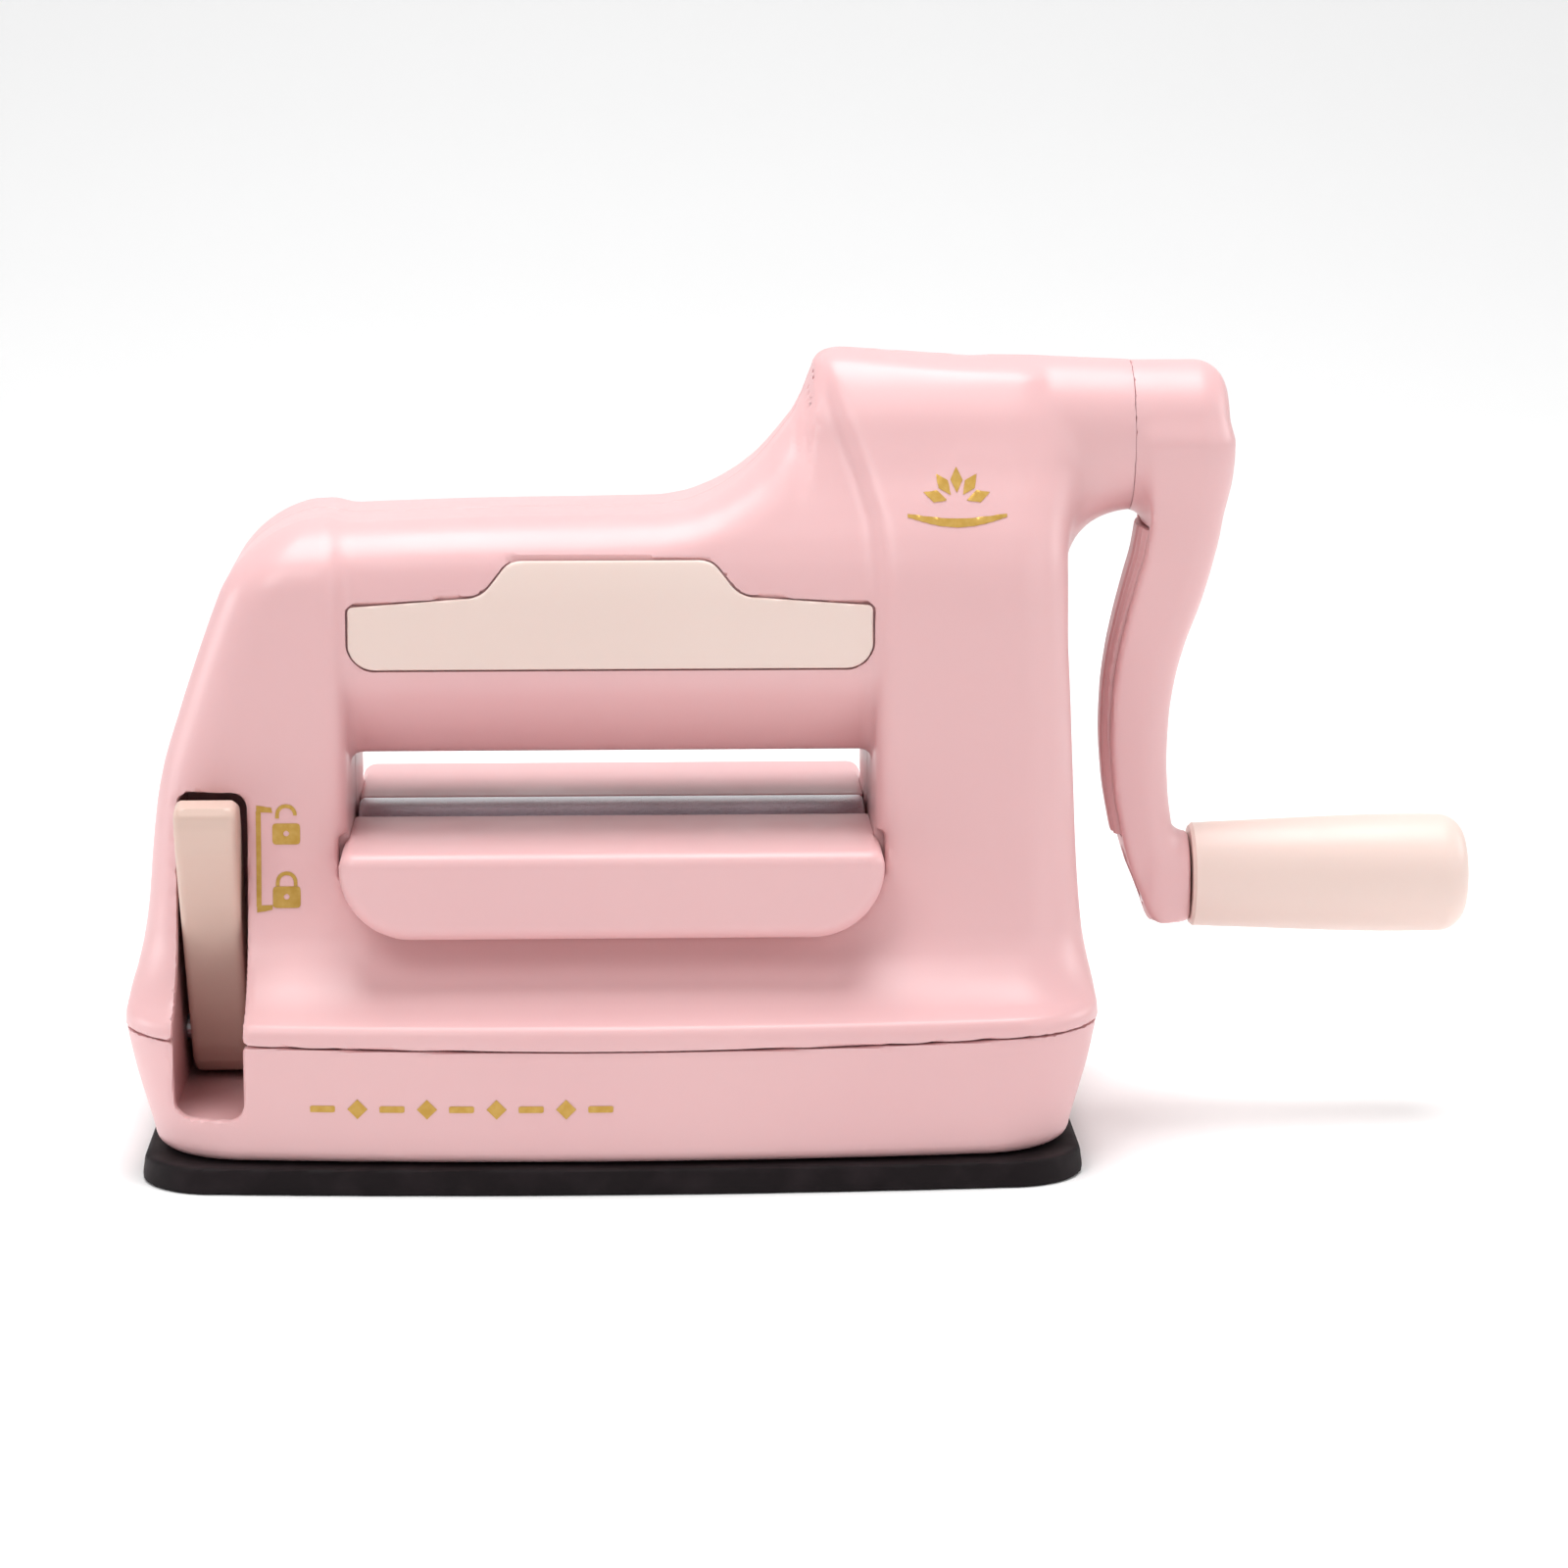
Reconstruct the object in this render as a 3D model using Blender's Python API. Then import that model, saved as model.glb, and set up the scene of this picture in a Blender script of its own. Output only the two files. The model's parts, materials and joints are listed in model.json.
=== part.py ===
"""Hand-cranked die cutting machine: gear-driven roller pair in a two-half housing on a suction base."""

import math

import bmesh
import bpy
from mathutils import Vector

# All lengths below are millimetres in the body frame: x = 0 on the middle of the
# feed gap, y = 0 on the joint between the housing halves, z = 0 on the table.
MM = 0.001
MID_X = -30.65
GAP = 0.3
WALL = 2.2

SLOT_HALF = 40.3
SEAM_Z = 22.0
ROLLER_R = 12.5
ROLLER_HALF = 39.7
SHAFT_R = 4.0
LOWER_Z = 38.6
UPPER_Z = 72.6
IDLER_Z = 79.6
CRANK_Z = 108.35
GRIP_Z = 38.2
PLATE_IN = 43.3
PLATE_OUT = 45.3
GEAR_PLATE = (65.3, 66.8)
PLANE_1 = (46.3, 52.3)
PLANE_2 = (53.0, 59.0)
PLANE_3 = (59.8, 64.8)
SYNC = (2.0, 17)
DRIVE = (2.0, 24)
IDLER_SMALL = (2.0, 17)
IDLER_BIG = (1.25, 32)
PINION = (1.25, 14)
BACKLASH = 0.4
ADDENDUM = 0.84
LEVER_Y = -10.0
LEVER_Z = 17.0
LEVER_MID = -60.7
LEVER_HALF = 4.85
ECCENTRIC = 2.6
ECCENTRIC_START = math.radians(-25.0)
HUB_FACE = 80.6
CRANK_OUT = 2.0

# height: half depth of the cheeks above the flange
DEPTH = (
    (30.0, 30.9),
    (36.0, 30.1),
    (40.0, 29.5),
    (45.0, 28.6),
    (55.0, 27.7),
    (70.0, 26.5),
    (80.0, 26.0),
    (85.0, 25.6),
    (90.0, 24.6),
)

scene = bpy.context.scene
for old in list(scene.objects):
    bpy.data.objects.remove(old, do_unlink=True)

parts = bpy.data.collections.new("die_cutting_machine")
scene.collection.children.link(parts)
materials = {}


def material(name, colour, metallic=0.0, roughness=0.5):
    """A plain material for one material slot."""
    mat = bpy.data.materials.new(name)
    mat.use_nodes = True
    shader = mat.node_tree.nodes["Principled BSDF"]
    shader.inputs["Base Color"].default_value = (*colour, 1.0)
    shader.inputs["Metallic"].default_value = metallic
    shader.inputs["Roughness"].default_value = roughness
    materials[name] = mat


def mesh_object(name, bm):
    """Wrap a bmesh given in millimetres of the body frame into an object in metres."""
    bmesh.ops.recalc_face_normals(bm, faces=bm.faces)
    if bm.calc_volume(signed=True) < 0:
        bmesh.ops.reverse_faces(bm, faces=bm.faces)
    for v in bm.verts:
        v.co = Vector(((v.co.x + MID_X) * MM, v.co.y * MM, v.co.z * MM))
    mesh = bpy.data.meshes.new(name)
    bm.to_mesh(mesh)
    bm.free()
    obj = bpy.data.objects.new(name, mesh)
    parts.objects.link(obj)
    return obj


def loft(name, rings):
    """A closed solid through rings that all have the same number of points."""
    bm = bmesh.new()
    loops = [[bm.verts.new(p) for p in ring] for ring in rings]
    count = len(loops[0])
    for low, high in zip(loops, loops[1:]):
        for i in range(count):
            j = (i + 1) % count
            bm.faces.new((low[i], low[j], high[j], high[i]))
    bm.faces.new(list(reversed(loops[0])))
    bm.faces.new(loops[-1])
    return mesh_object(name, bm)


def placed(axis, a, b, t):
    """Point t along an axis and (a, b) across it, in x, y, z order."""
    return {"x": (t, a, b), "y": (a, t, b), "z": (a, b, t)}[axis]


def prism(name, outline, axis, start, end):
    """A flat outline extruded along one axis from start to end."""
    bm = bmesh.new()
    face = bm.faces.new([bm.verts.new(placed(axis, a, b, start)) for a, b in outline])
    moved = bmesh.ops.extrude_face_region(bm, geom=[face])["geom"]
    far = [v for v in moved if isinstance(v, bmesh.types.BMVert)]
    bmesh.ops.translate(bm, verts=far, vec=placed(axis, 0.0, 0.0, end - start))
    return mesh_object(name, bm)


def box(name, x, y, z):
    """A block given by its three ranges."""
    bm = bmesh.new()
    bmesh.ops.create_cube(bm, size=1.0)
    for v in bm.verts:
        v.co = Vector([low + (high - low) * (c + 0.5) for c, (low, high) in zip(v.co, (x, y, z))])
    return mesh_object(name, bm)


def cylinder(name, start, end, radius, a=0.0, b=0.0, axis="x", steps=24):
    """A round bar along one axis, (a, b) across it."""
    bm = bmesh.new()
    bmesh.ops.create_cone(
        bm, cap_ends=True, segments=steps, radius1=radius, radius2=radius, depth=end - start
    )
    for v in bm.verts:
        v.co = Vector(placed(axis, v.co.x + a, v.co.y + b, v.co.z + (start + end) / 2))
    return mesh_object(name, bm)


def lathe(name, profile, y=0.0, z=0.0, axis="x", steps=32):
    """A closed profile of (position, radius) pairs turned around an axis."""
    bm = bmesh.new()
    verts = [bm.verts.new((p, 0.0, r)) for p, r in profile]
    pairs = [(i, i - 1) for i in range(len(verts)) if profile[i][1] or profile[i - 1][1]]
    edges = [bm.edges.new((verts[i], verts[j])) for i, j in pairs]
    bmesh.ops.spin(
        bm,
        geom=verts + edges,
        cent=(0, 0, 0),
        axis=(1, 0, 0),
        dvec=(0, 0, 0),
        angle=2 * math.pi,
        steps=steps,
        use_merge=True,
    )
    bmesh.ops.remove_doubles(bm, verts=bm.verts, dist=0.0001)
    bmesh.ops.dissolve_degenerate(bm, dist=0.0001, edges=bm.edges)
    for v in bm.verts:
        if axis == "z":
            v.co = Vector((v.co.z, v.co.y, v.co.x))
        v.co += Vector((0, y, z)) if axis == "x" else Vector((y, z, 0))
    return mesh_object(name, bm)


def rod(name, x0, x1, radius, y, z, steps=24):
    """A plain round bar along x with a small chamfer at both ends."""
    c = min(0.4, radius * 0.2)
    profile = [(x0, 0), (x0, radius - c), (x0 + c, radius), (x1 - c, radius), (x1, radius - c), (x1, 0)]
    return lathe(name, profile, y, z, steps=steps)


def combine(obj, others, operation="DIFFERENCE"):
    """Cut or join the other solids into the first one and drop them."""
    for other in others:
        step = obj.modifiers.new(other.name, "BOOLEAN")
        step.operation = operation
        step.solver = "EXACT"
        step.object = other
        bpy.context.view_layer.update()
        graph = bpy.context.evaluated_depsgraph_get()
        mesh = bpy.data.meshes.new_from_object(obj.evaluated_get(graph))
        obj.modifiers.clear()
        obj.data = mesh
        bm = bmesh.new()
        bm.from_mesh(mesh)
        bmesh.ops.remove_doubles(bm, verts=bm.verts, dist=0.000005)
        bmesh.ops.dissolve_degenerate(bm, dist=0.000005, edges=bm.edges)
        bmesh.ops.dissolve_limit(
            bm, angle_limit=0.002, verts=bm.verts, edges=bm.edges, delimit={"NORMAL"}
        )
        bmesh.ops.triangulate(bm, faces=bm.faces)
        bm.to_mesh(mesh)
        bm.free()
        bpy.data.objects.remove(other, do_unlink=True)
    return obj


def finish(obj, slot, origin=None):
    """Give a part its material and put its origin on its own axis."""
    obj.data.materials.clear()
    obj.data.materials.append(materials[slot])
    if origin:
        point = Vector(((origin[0] + MID_X) * MM, origin[1] * MM, origin[2] * MM))
        for v in obj.data.vertices:
            v.co -= point
        obj.location = point
    return obj


def at(table, z):
    """Straight-line value of a (height, value) table."""
    for (z0, a), (z1, b) in zip(table, table[1:]):
        if z <= z1:
            t = max(0.0, (z - z0) / (z1 - z0))
            return a + (b - a) * t
    return table[-1][1]


def section(z, x0, x1, h, r, bow=0.0, steps=4, along=5):
    """A rounded rectangle at height z, r on the x1 and x0 side, bowed in front and behind."""
    most = min(h - 0.2, (x1 - x0) / 2 - 0.2)
    right, left = [min(v, most) for v in (r if isinstance(r, tuple) else (r, r))]
    mid, half = (x0 + x1) / 2, (x1 - x0) / 2
    points = []
    corners = ((x1, 1, right, 0), (x0, 1, left, 90), (x0, -1, left, 180), (x1, -1, right, 270))
    for x, side, r, start in corners:
        cx, cy = (x - r if x == x1 else x + r), side * (h - r)
        for k in range(steps + 1):
            a = math.radians(start + 90 * k / steps)
            points.append((cx + r * math.cos(a), cy + r * math.sin(a)))
        if bow and start in (0, 180):
            far = x0 + left if start == 0 else x1 - right
            for k in range(1, along):
                points.append((cx + (far - cx) * k / along, h if start == 0 else -h))
    ring = []
    for x, y in points:
        sag = bow * ((x - mid) / half) ** 2
        ring.append((x, y - math.copysign(sag, y), z))
    return ring


def rounded_outline(x0, x1, z0, z1, r, steps=5):
    """A rectangle in x and z with rounded lower corners."""
    points = [(x1, z1), (x0, z1)]
    for cx, start in ((x0 + r, 180), (x1 - r, 270)):
        for k in range(steps + 1):
            a = math.radians(start + 90 * k / steps)
            points.append((cx + r * math.cos(a), z0 + r + r * math.sin(a)))
    return points


def offset(outline, distance):
    """The outline moved outward by a distance."""
    area = sum(a[0] * b[1] - b[0] * a[1] for a, b in zip(outline, outline[1:] + outline[:1]))
    side = math.copysign(1.0, area)
    moved = []
    for i, p in enumerate(outline):
        before = Vector(p) - Vector(outline[i - 1])
        after = Vector(outline[(i + 1) % len(outline)]) - Vector(p)
        n0 = Vector((before.y, -before.x)).normalized()
        n1 = Vector((after.y, -after.x)).normalized()
        n = (n0 + n1) * side / (1.0 + n0.dot(n1))
        moved.append((p[0] + n.x * distance, p[1] + n.y * distance))
    return moved


def gear_outline(module, teeth, phase):
    """Involute spur gear outline with a tooth centred on the phase angle."""
    pitch = module * teeth / 2
    base = pitch * math.cos(math.radians(20))
    tip = pitch + ADDENDUM * module
    root = pitch - 1.25 * module
    half_tooth = math.pi / (2 * teeth) - BACKLASH / (4 * pitch)
    flank_start = max(base, root + 0.05)

    def roll(radius):
        ratio = min(1.0, base / radius)
        return math.tan(math.acos(ratio)) - math.acos(ratio)

    levels = [flank_start, pitch, tip]
    flank = [(r, half_tooth + roll(pitch) - roll(r)) for r in levels]
    points = []
    for k in range(teeth):
        centre = phase + 2 * math.pi * k / teeth
        rows = [(root, -flank[0][1] - 0.02)]
        rows += [(r, -a) for r, a in flank]
        rows += [(r, a) for r, a in reversed(flank)]
        rows += [(root, flank[0][1] + 0.02)]
        points += [(r * math.cos(centre + a), r * math.sin(centre + a)) for r, a in rows]
    return points


def gear(name, size, span, z, phase, bore):
    """Spur gear on an axis along x with its bore cut through."""
    outline = [(y, w + z) for y, w in gear_outline(size[0], size[1], phase)]
    body = prism(name, outline, "x", *span)
    if bore:
        combine(body, [tube_cutter(span[0] - 1, span[1] + 1, bore, 0.0, z)])
    return body


def tube_cutter(x0, x1, radius, y, z, steps=24):
    """A round bar along x used as a cutter."""
    return cylinder("cutter", x0, x1, radius, y, z, "x", steps)


# ---------------------------------------------------------------- housing


def flange_rings(grow, drop, low, high):
    """Rings of the sloping skirt that joins the towers to the base."""
    rows = (
        (22.3, 74.1, 47.6, 5.0),
        (24.2, 74.0, 47.4, 5.0),
        (25.2, 73.8, 45.6, 4.8),
        (27.0, 73.5, 41.6, 4.0),
        (29.5, 73.1, 37.4, 3.0),
        (32.5, 72.5, 34.0, 2.0),
        (36.0, 71.9, 31.5, 1.0),
        (40.0, 71.5, 29.7, 0.3),
    )
    rings = []
    if low is not None:
        rings.append(section(low, -rows[0][1] - grow, rows[0][1] + grow, rows[0][2] + grow, 14 + grow, 5.0))
    for z, half, depth, bow in rows:
        if high is None or z - drop < high:
            rings.append(section(z - drop, -half - grow, half + grow, depth + grow, 13 + grow, bow + 0.01))
    return rings


def cheek_rings(grow, bottom, top_drop):
    """Rings of the left tower: leaning outer side, straight inner side."""
    left = (
        (30.0, -71.9),
        (33.5, -71.6),
        (40.0, -71.2),
        (47.5, -70.4),
        (53.0, -69.7),
        (59.0, -68.6),
        (68.5, -65.6),
        (84.0, -60.6),
        (90.0, -58.0),
    )
    corner = (3.4 + grow * 0.9, 9 + grow)
    rings = []
    for z in (bottom, 40.0, 47.5, 53.0, 60.0, 68.5, 76.0, 84.0, 90.0):
        rings.append(section(z, at(left, z) - grow, -SLOT_HALF + grow, at(DEPTH, z) + grow, corner))
    for z, x0, depth in ((94.0, -55.2, 22.4), (96.4, -52.2, 19.2), (97.7, -48.5, 15.2)):
        rings.append(section(z - top_drop, x0 - grow, -SLOT_HALF + grow, depth + grow, corner))
    return rings


def column_rings(grow, bottom, top_drop):
    """Rings of the right tower that carries the gear train and the crank hub."""
    right = ((30.0, 72.0), (36.0, 71.8), (47.0, 71.4), (57.0, 71.1), (70.0, 70.6), (80.0, 70.1))
    corner = (9 + grow, 3.4 + grow * 0.9)
    rings = []
    for z in (bottom, 40.0, 47.5, 57.0, 70.0, 80.0, 85.0, 90.0):
        depth = at(DEPTH, z) + 0.12 + grow
        rings.append(section(z, SLOT_HALF - grow, at(right, z) + grow, depth, corner))
    upper = ((95.0, 22.4), (100.0, 19.4), (104.0, 17.2), (108.35, 15.2), (112.5, 13.5), (116.0, 11.1))
    for z, depth in upper:
        rings.append(section(z, SLOT_HALF - grow, 70.1 + grow, depth + grow, corner))
    for z, depth in ((118.6, 8.4), (120.3, 5.6), (121.0, 3.6)):
        rings.append(section(z - top_drop, SLOT_HALF - grow, 70.1 + grow, depth + grow, corner))
    return rings


def wave_rings(grow, bottom, top_drop):
    """Rings of the curved shoulder that climbs from the bridge to the right tower."""
    rows = (
        (98.2, 9.5, 17.4),
        (99.4, 13.8, 16.9),
        (101.4, 18.2, 16.2),
        (104.2, 22.0, 15.3),
        (107.8, 25.4, 14.4),
        (111.8, 28.3, 13.2),
        (116.0, 30.4, 10.7),
        (118.6, 31.6, 8.1),
        (120.2, 33.0, 5.3),
        (120.8, 34.5, 3.3),
    )
    rings = [section(bottom, 7.0 - grow, 52.0, 17.8 + grow, 7 + grow)]
    for z, x0, depth in rows:
        if z - top_drop > bottom:
            rings.append(section(z - top_drop, x0 - grow, 52.0, depth + grow, 7 + grow))
    return rings


def bridge_rings(grow, bottom, top_drop):
    """Rings of the bridge between the towers, visor lip at the bottom."""
    rows = ((61.2, 16.2), (63.0, 17.6), (66.0, 19.8), (70.0, 22.4), (74.6, 24.6), (75.2, 24.8), (92.6, 24.8))
    reach = SLOT_HALF + 1.0 - grow
    rings = [section(bottom, -reach, reach, at(rows, bottom) + grow, 2)]
    for z, depth in rows:
        if z > bottom:
            rings.append(section(z, -reach, reach, depth + grow, 2))
    for z, depth in ((95.2, 22.9), (97.2, 19.4), (98.3, 14.6), (98.6, 9.0)):
        rings.append(section(z - top_drop, -reach, reach, depth + grow, 2))
    return rings


def hub(name, grow, end):
    """The round neck that carries the crank shaft out of the right tower."""
    rows = ((56.0, 12.5), (63.0, 12.5), (69.0, 12.3), (74.0, 11.9), (end, 11.6))
    profile = [(56.0, 0.0)] + [(x, r + grow) for x, r in rows] + [(end, 0.0)]
    return lathe(name, profile, 0.0, CRANK_Z, steps=32)


def neck(name):
    """The curved web under the hub."""
    arc = []
    for k in range(7):
        a = math.radians(90 * k / 6)
        arc.append((HUB_FACE - 0.4 - 10.3 * math.cos(a), 86.0 + 11.0 * math.sin(a)))
    outline = [(66.0, 84.0), (69.9, 84.0)] + arc + [(HUB_FACE - 1.0, 99.5), (66.0, 101.0)]
    return prism(name, outline, "y", -5.5, 5.5)


def middle_block(name, half, depth, low, high):
    """The closed block between the towers that carries the trays."""
    return box(name, (-half, half), (-depth, depth), (low, high))


def tray_pocket(name, grow, side):
    """The U-shaped pocket the tray sits in."""
    outline = rounded_outline(-42.6 - grow, 42.6 + grow, 35.3 - grow, 50.3 + grow, 11.5 + grow)
    near = (24.0 - grow) * side
    return prism(name, outline, "y", min(near, 60 * side), max(near, 60 * side))


def inner_space(grow):
    """The room inside the housing, closer to the wall for a larger grow."""
    room = loft("room", flange_rings(grow, 1.4, 18.0, 37.5))
    others = [
        loft("r1", cheek_rings(grow, 30.0, 2.2)),
        loft("r2", column_rings(grow, 30.0, 2.2)),
        loft("r3", bridge_rings(grow, 63.2, 2.2)),
        loft("r4", wave_rings(grow, 94.0, 2.2)),
        hub("r5", grow, HUB_FACE - WALL),
        middle_block("r6", 43.6, 21.4, 19.0, 46.2),
    ]
    combine(room, others, "UNION")
    return combine(room, [tray_pocket("p1", WALL, -1), tray_pocket("p2", WALL, 1)])


def panel_outline(grow):
    """Outline of the trim panel: raised tab in the middle, rounded lower corners."""
    top = [(39.9, 84.5), (39.5, 84.9), (21.9, 86.1), (20.4, 86.7), (16.2, 91.4), (14.8, 92.15)]
    low = []
    for k in range(5):
        a = math.radians(270 + 90 * k / 4)
        low.append((36.0 + 3.9 * math.cos(a), 79.5 + 3.9 * math.sin(a)))
    right = low + top
    outline = right + [(-x, z) for x, z in reversed(right)]
    return offset(outline, grow) if grow else outline


def lever_slot(low, high):
    """The upright opening the suction lever moves in."""
    outline = rounded_outline(LEVER_MID - 5.3, LEVER_MID + 5.3, low, high, 2.5, 3)
    return prism("slot", outline, "y", -70.0, -5.0)


def screw_places():
    """Where the housing screws run from the rear half into posts of the front half."""
    return ((-50.6, 79.5, 25.9), (-49.0, 30.6, 34.8), (49.3, 98.0, 20.4))


def housing():
    """Both housing halves."""
    shell = loft("shell", flange_rings(0.0, 0.0, None, None))
    others = [
        loft("s1", cheek_rings(0.0, 30.0, 0.0)),
        loft("s2", column_rings(0.0, 30.0, 0.0)),
        loft("s3", bridge_rings(0.0, 61.2, 0.0)),
        loft("s4", wave_rings(0.0, 90.0, 0.0)),
        hub("s5", 0.0, HUB_FACE),
        neck("s6"),
        middle_block("s7", 41.3, 23.8, 26.0, 48.4),
    ]
    combine(shell, others, "UNION")
    combine(shell, [tray_pocket("p1", 0.0, -1), tray_pocket("p2", 0.0, 1), inner_space(-WALL)])
    combine(
        shell,
        [
            box("upper_mouth", (-40.2, 40.2), (-11, 11), (57, 66)),
            box("lower_mouth", (-40.2, 40.2), (-11, 11), (44, 52)),
            tube_cutter(70.0, 90.0, 4.6, 0.0, CRANK_Z),
        ],
    )
    halves = []
    for name, side in (("front_housing", -1), ("rear_housing", 1)):
        half = shell.copy()
        half.data = shell.data.copy()
        half.name = name
        parts.objects.link(half)
        away = box("away", (-90, 90), (-0.15 if side < 0 else -80, 80 if side < 0 else 0.15), (0, 140))
        combine(half, [away])
        halves.append(half)
    bpy.data.objects.remove(shell, do_unlink=True)
    front, rear = halves
    combine(front, [lever_slot(20.0, 58.2)])
    combine(front, [prism("bed", panel_outline(GAP), "y", -40.0, -23.5)])
    for x, z, wall in screw_places():
        combine(front, [cylinder("post", -wall + 1.2, wall - 6.0, 2.6, x, z, "y", 16)], "UNION")
        combine(front, [cylinder("bore", -wall + 6.0, wall, 1.5, x, z, "y", 12)])
        combine(rear, [cylinder("hole", wall - 8.0, wall + 9.0, 1.8, x, z, "y", 12)])
        combine(rear, [cylinder("sink", wall - 1.4, wall + 9.0, 3.3, x, z, "y", 16)])
    finish(front, "pink_plastic")
    finish(rear, "pink_plastic")


def housing_screws():
    """Pan-head screws sunk in the rear half."""
    for i, (x, z, wall) in enumerate(screw_places()):
        rows = [(wall - 14.0, 0), (wall - 14.0, 1.2), (wall - 1.0, 1.2), (wall - 1.0, 2.9), (wall - 0.4, 2.9)]
        rows += [(wall + 0.1, 2.2), (wall + 0.1, 0)]
        obj = lathe("housing_screw_%d" % (i + 1), rows, 0, 0, steps=16)
        for v in obj.data.vertices:
            px, py, pz = v.co.x / MM - MID_X, v.co.y / MM, v.co.z / MM
            v.co = Vector(((x + py + MID_X) * MM, px * MM, (z + pz) * MM))
        obj.data.flip_normals()
        finish(obj, "steel")


# ---------------------------------------------------------------- base and foot


def base_rings(grow, low, high):
    """Rings of the base tub."""
    rows = ((4.3, 68.4, 47.2), (5.6, 69.6, 48.3), (12.0, 71.4, 48.4), (SEAM_Z, 74.0, 47.9))
    rings = []
    for z, half, depth in rows:
        z = max(low, min(z, high)) if z in (4.3, SEAM_Z) else z
        rings.append(section(z, -half - grow, half + grow, depth + grow, 13 + grow, 5.0))
    return rings


def base_shell():
    """The base tub with a raised bell over the suction pad."""
    base = loft("base_shell", base_rings(0.0, 4.3, SEAM_Z))
    room = loft("room", [
        section(z, -half, half, depth, 10.5, 5.0)
        for z, half, depth in ((6.5, 67.6, 45.9), (12.0, 69.1, 46.1), (26.0, 72.4, 45.5))
    ])
    combine(base, [room])
    bell = lathe("bell", [(4.4, 0), (4.4, 42.3), (7.4, 42.3), (8.2, 41.5), (8.2, 0)], 0, 0, "z", 48)
    combine(base, [bell], "UNION")
    cup = cylinder("cup", 1.0, 6.8, 40.0, axis="z", steps=48)
    bore = cylinder("bore", 0.0, 12.0, 3.6, axis="z")
    combine(base, [cup, bore, lever_slot(10.5, 30.0)])
    finish(base, "pink_plastic")


def lever_well():
    """The trough behind the lever opening that keeps dust out of the mechanism."""
    well = box("lever_well", (LEVER_MID - 7.1, LEVER_MID + 7.1), (-60, 0.0), (8.2, 60.2))
    hollow = box("hollow", (LEVER_MID - 5.8, LEVER_MID + 5.8), (-70, -1.3), (9.5, 58.9))
    combine(well, [hollow])
    room = inner_space(-WALL - GAP)
    base_room = loft("base_room", [
        section(z, -half, half, depth, 10.2, 5.0)
        for z, half, depth in ((6.9, 67.3, 45.6), (12.0, 68.8, 45.8), (21.6, 71.0, 45.3))
    ])
    combine(room, [base_room], "UNION")
    combine(well, [room], "INTERSECT")
    combine(well, [tube_cutter(-68, -50, 2.4, LEVER_Y, LEVER_Z)])
    finish(well, "pink_plastic")


def suction_foot():
    """Rubber foot plate with the round opening of the suction pad."""
    rows = ((0.0, 71.1, 50.3), (0.4, 71.3, 50.5), (3.5, 71.3, 50.5), (4.0, 70.9, 50.1))
    foot = loft("suction_foot", [section(z, -h, h, d, 10, 3.0, 5, 7) for z, h, d in rows])
    hole = cylinder("hole", -2.0, 7.0, 40.3, axis="z", steps=64)
    finish(combine(foot, [hole]), "black_rubber")


def suction_pad():
    """Soft ring under the bell and the stiff disc the stem pulls up."""
    ring = [(1.2, 12.4), (1.2, 39.9), (2.6, 39.9), (2.6, 38.0), (2.2, 36.0), (2.2, 12.4)]
    finish(lathe("pad_ring", ring, 0, 0, "z", 48), "black_rubber")
    disc = [(0.9, 0), (0.9, 11.6), (1.3, 12.0), (3.0, 12.0), (3.5, 11.5), (3.5, 0)]
    finish(lathe("pad_disc", disc, 0, 0, "z", 32), "black_rubber", (0, 0, 2.0))


def pull_stem():
    """Stem with an offset yoke that rides on the eccentric."""
    stem = box("pull_stem", (-3.4, 3.4), (-14.8, 4.0), (8.8, 23.0))
    centre = LEVER_Y + ECCENTRIC * 0.95
    window = box("window", (-9, 9), (centre - 5.9, centre + 5.9), (10.35, 21.45))
    combine(stem, [window])
    shank = cylinder("shank", 3.8, 9.8, 3.0, axis="z")
    foot = cylinder("foot", 3.8, 4.3, 6.0, axis="z")
    combine(stem, [shank, foot], "UNION")
    finish(stem, "steel", (0, 0, 6.0))


def lever():
    """The suction lever, its shaft and the eccentric."""
    side = [
        (-33.6, 57.4),
        (-37.3, 56.9),
        (-38.4, 55.4),
        (-36.8, 49.8),
        (-30.5, 38.4),
        (-23.6, 26.2),
        (-18.0, 15.6),
        (-16.0, 12.8),
        (-13.0, 10.7),
        (-9.8, 10.1),
        (-6.4, 11.1),
        (-3.9, 13.8),
        (-3.2, 17.0),
        (-4.2, 20.6),
        (-9.0, 26.4),
        (-16.5, 36.8),
        (-23.5, 48.6),
        (-28.3, 55.7),
    ]
    body = prism("suction_lever", side, "x", LEVER_MID - LEVER_HALF, LEVER_MID + LEVER_HALF)
    combine(body, [tube_cutter(-70, -50, 2.3, LEVER_Y, LEVER_Z)])
    finish(body, "cream_plastic", (LEVER_MID, LEVER_Y, LEVER_Z))
    shaft = rod("lever_shaft", LEVER_MID - 6.6, 7.0, 2.0, LEVER_Y, LEVER_Z, 16)
    finish(shaft, "steel", (-30, LEVER_Y, LEVER_Z))
    y = LEVER_Y + ECCENTRIC * math.cos(ECCENTRIC_START)
    z = LEVER_Z + ECCENTRIC * math.sin(ECCENTRIC_START)
    disc = rod("lift_eccentric", -4.2, 4.2, 5.2, y, z, 32)
    combine(disc, [tube_cutter(-10, 10, 2.25, LEVER_Y, LEVER_Z, 16)])
    finish(disc, "steel", (0, LEVER_Y, LEVER_Z))


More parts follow.
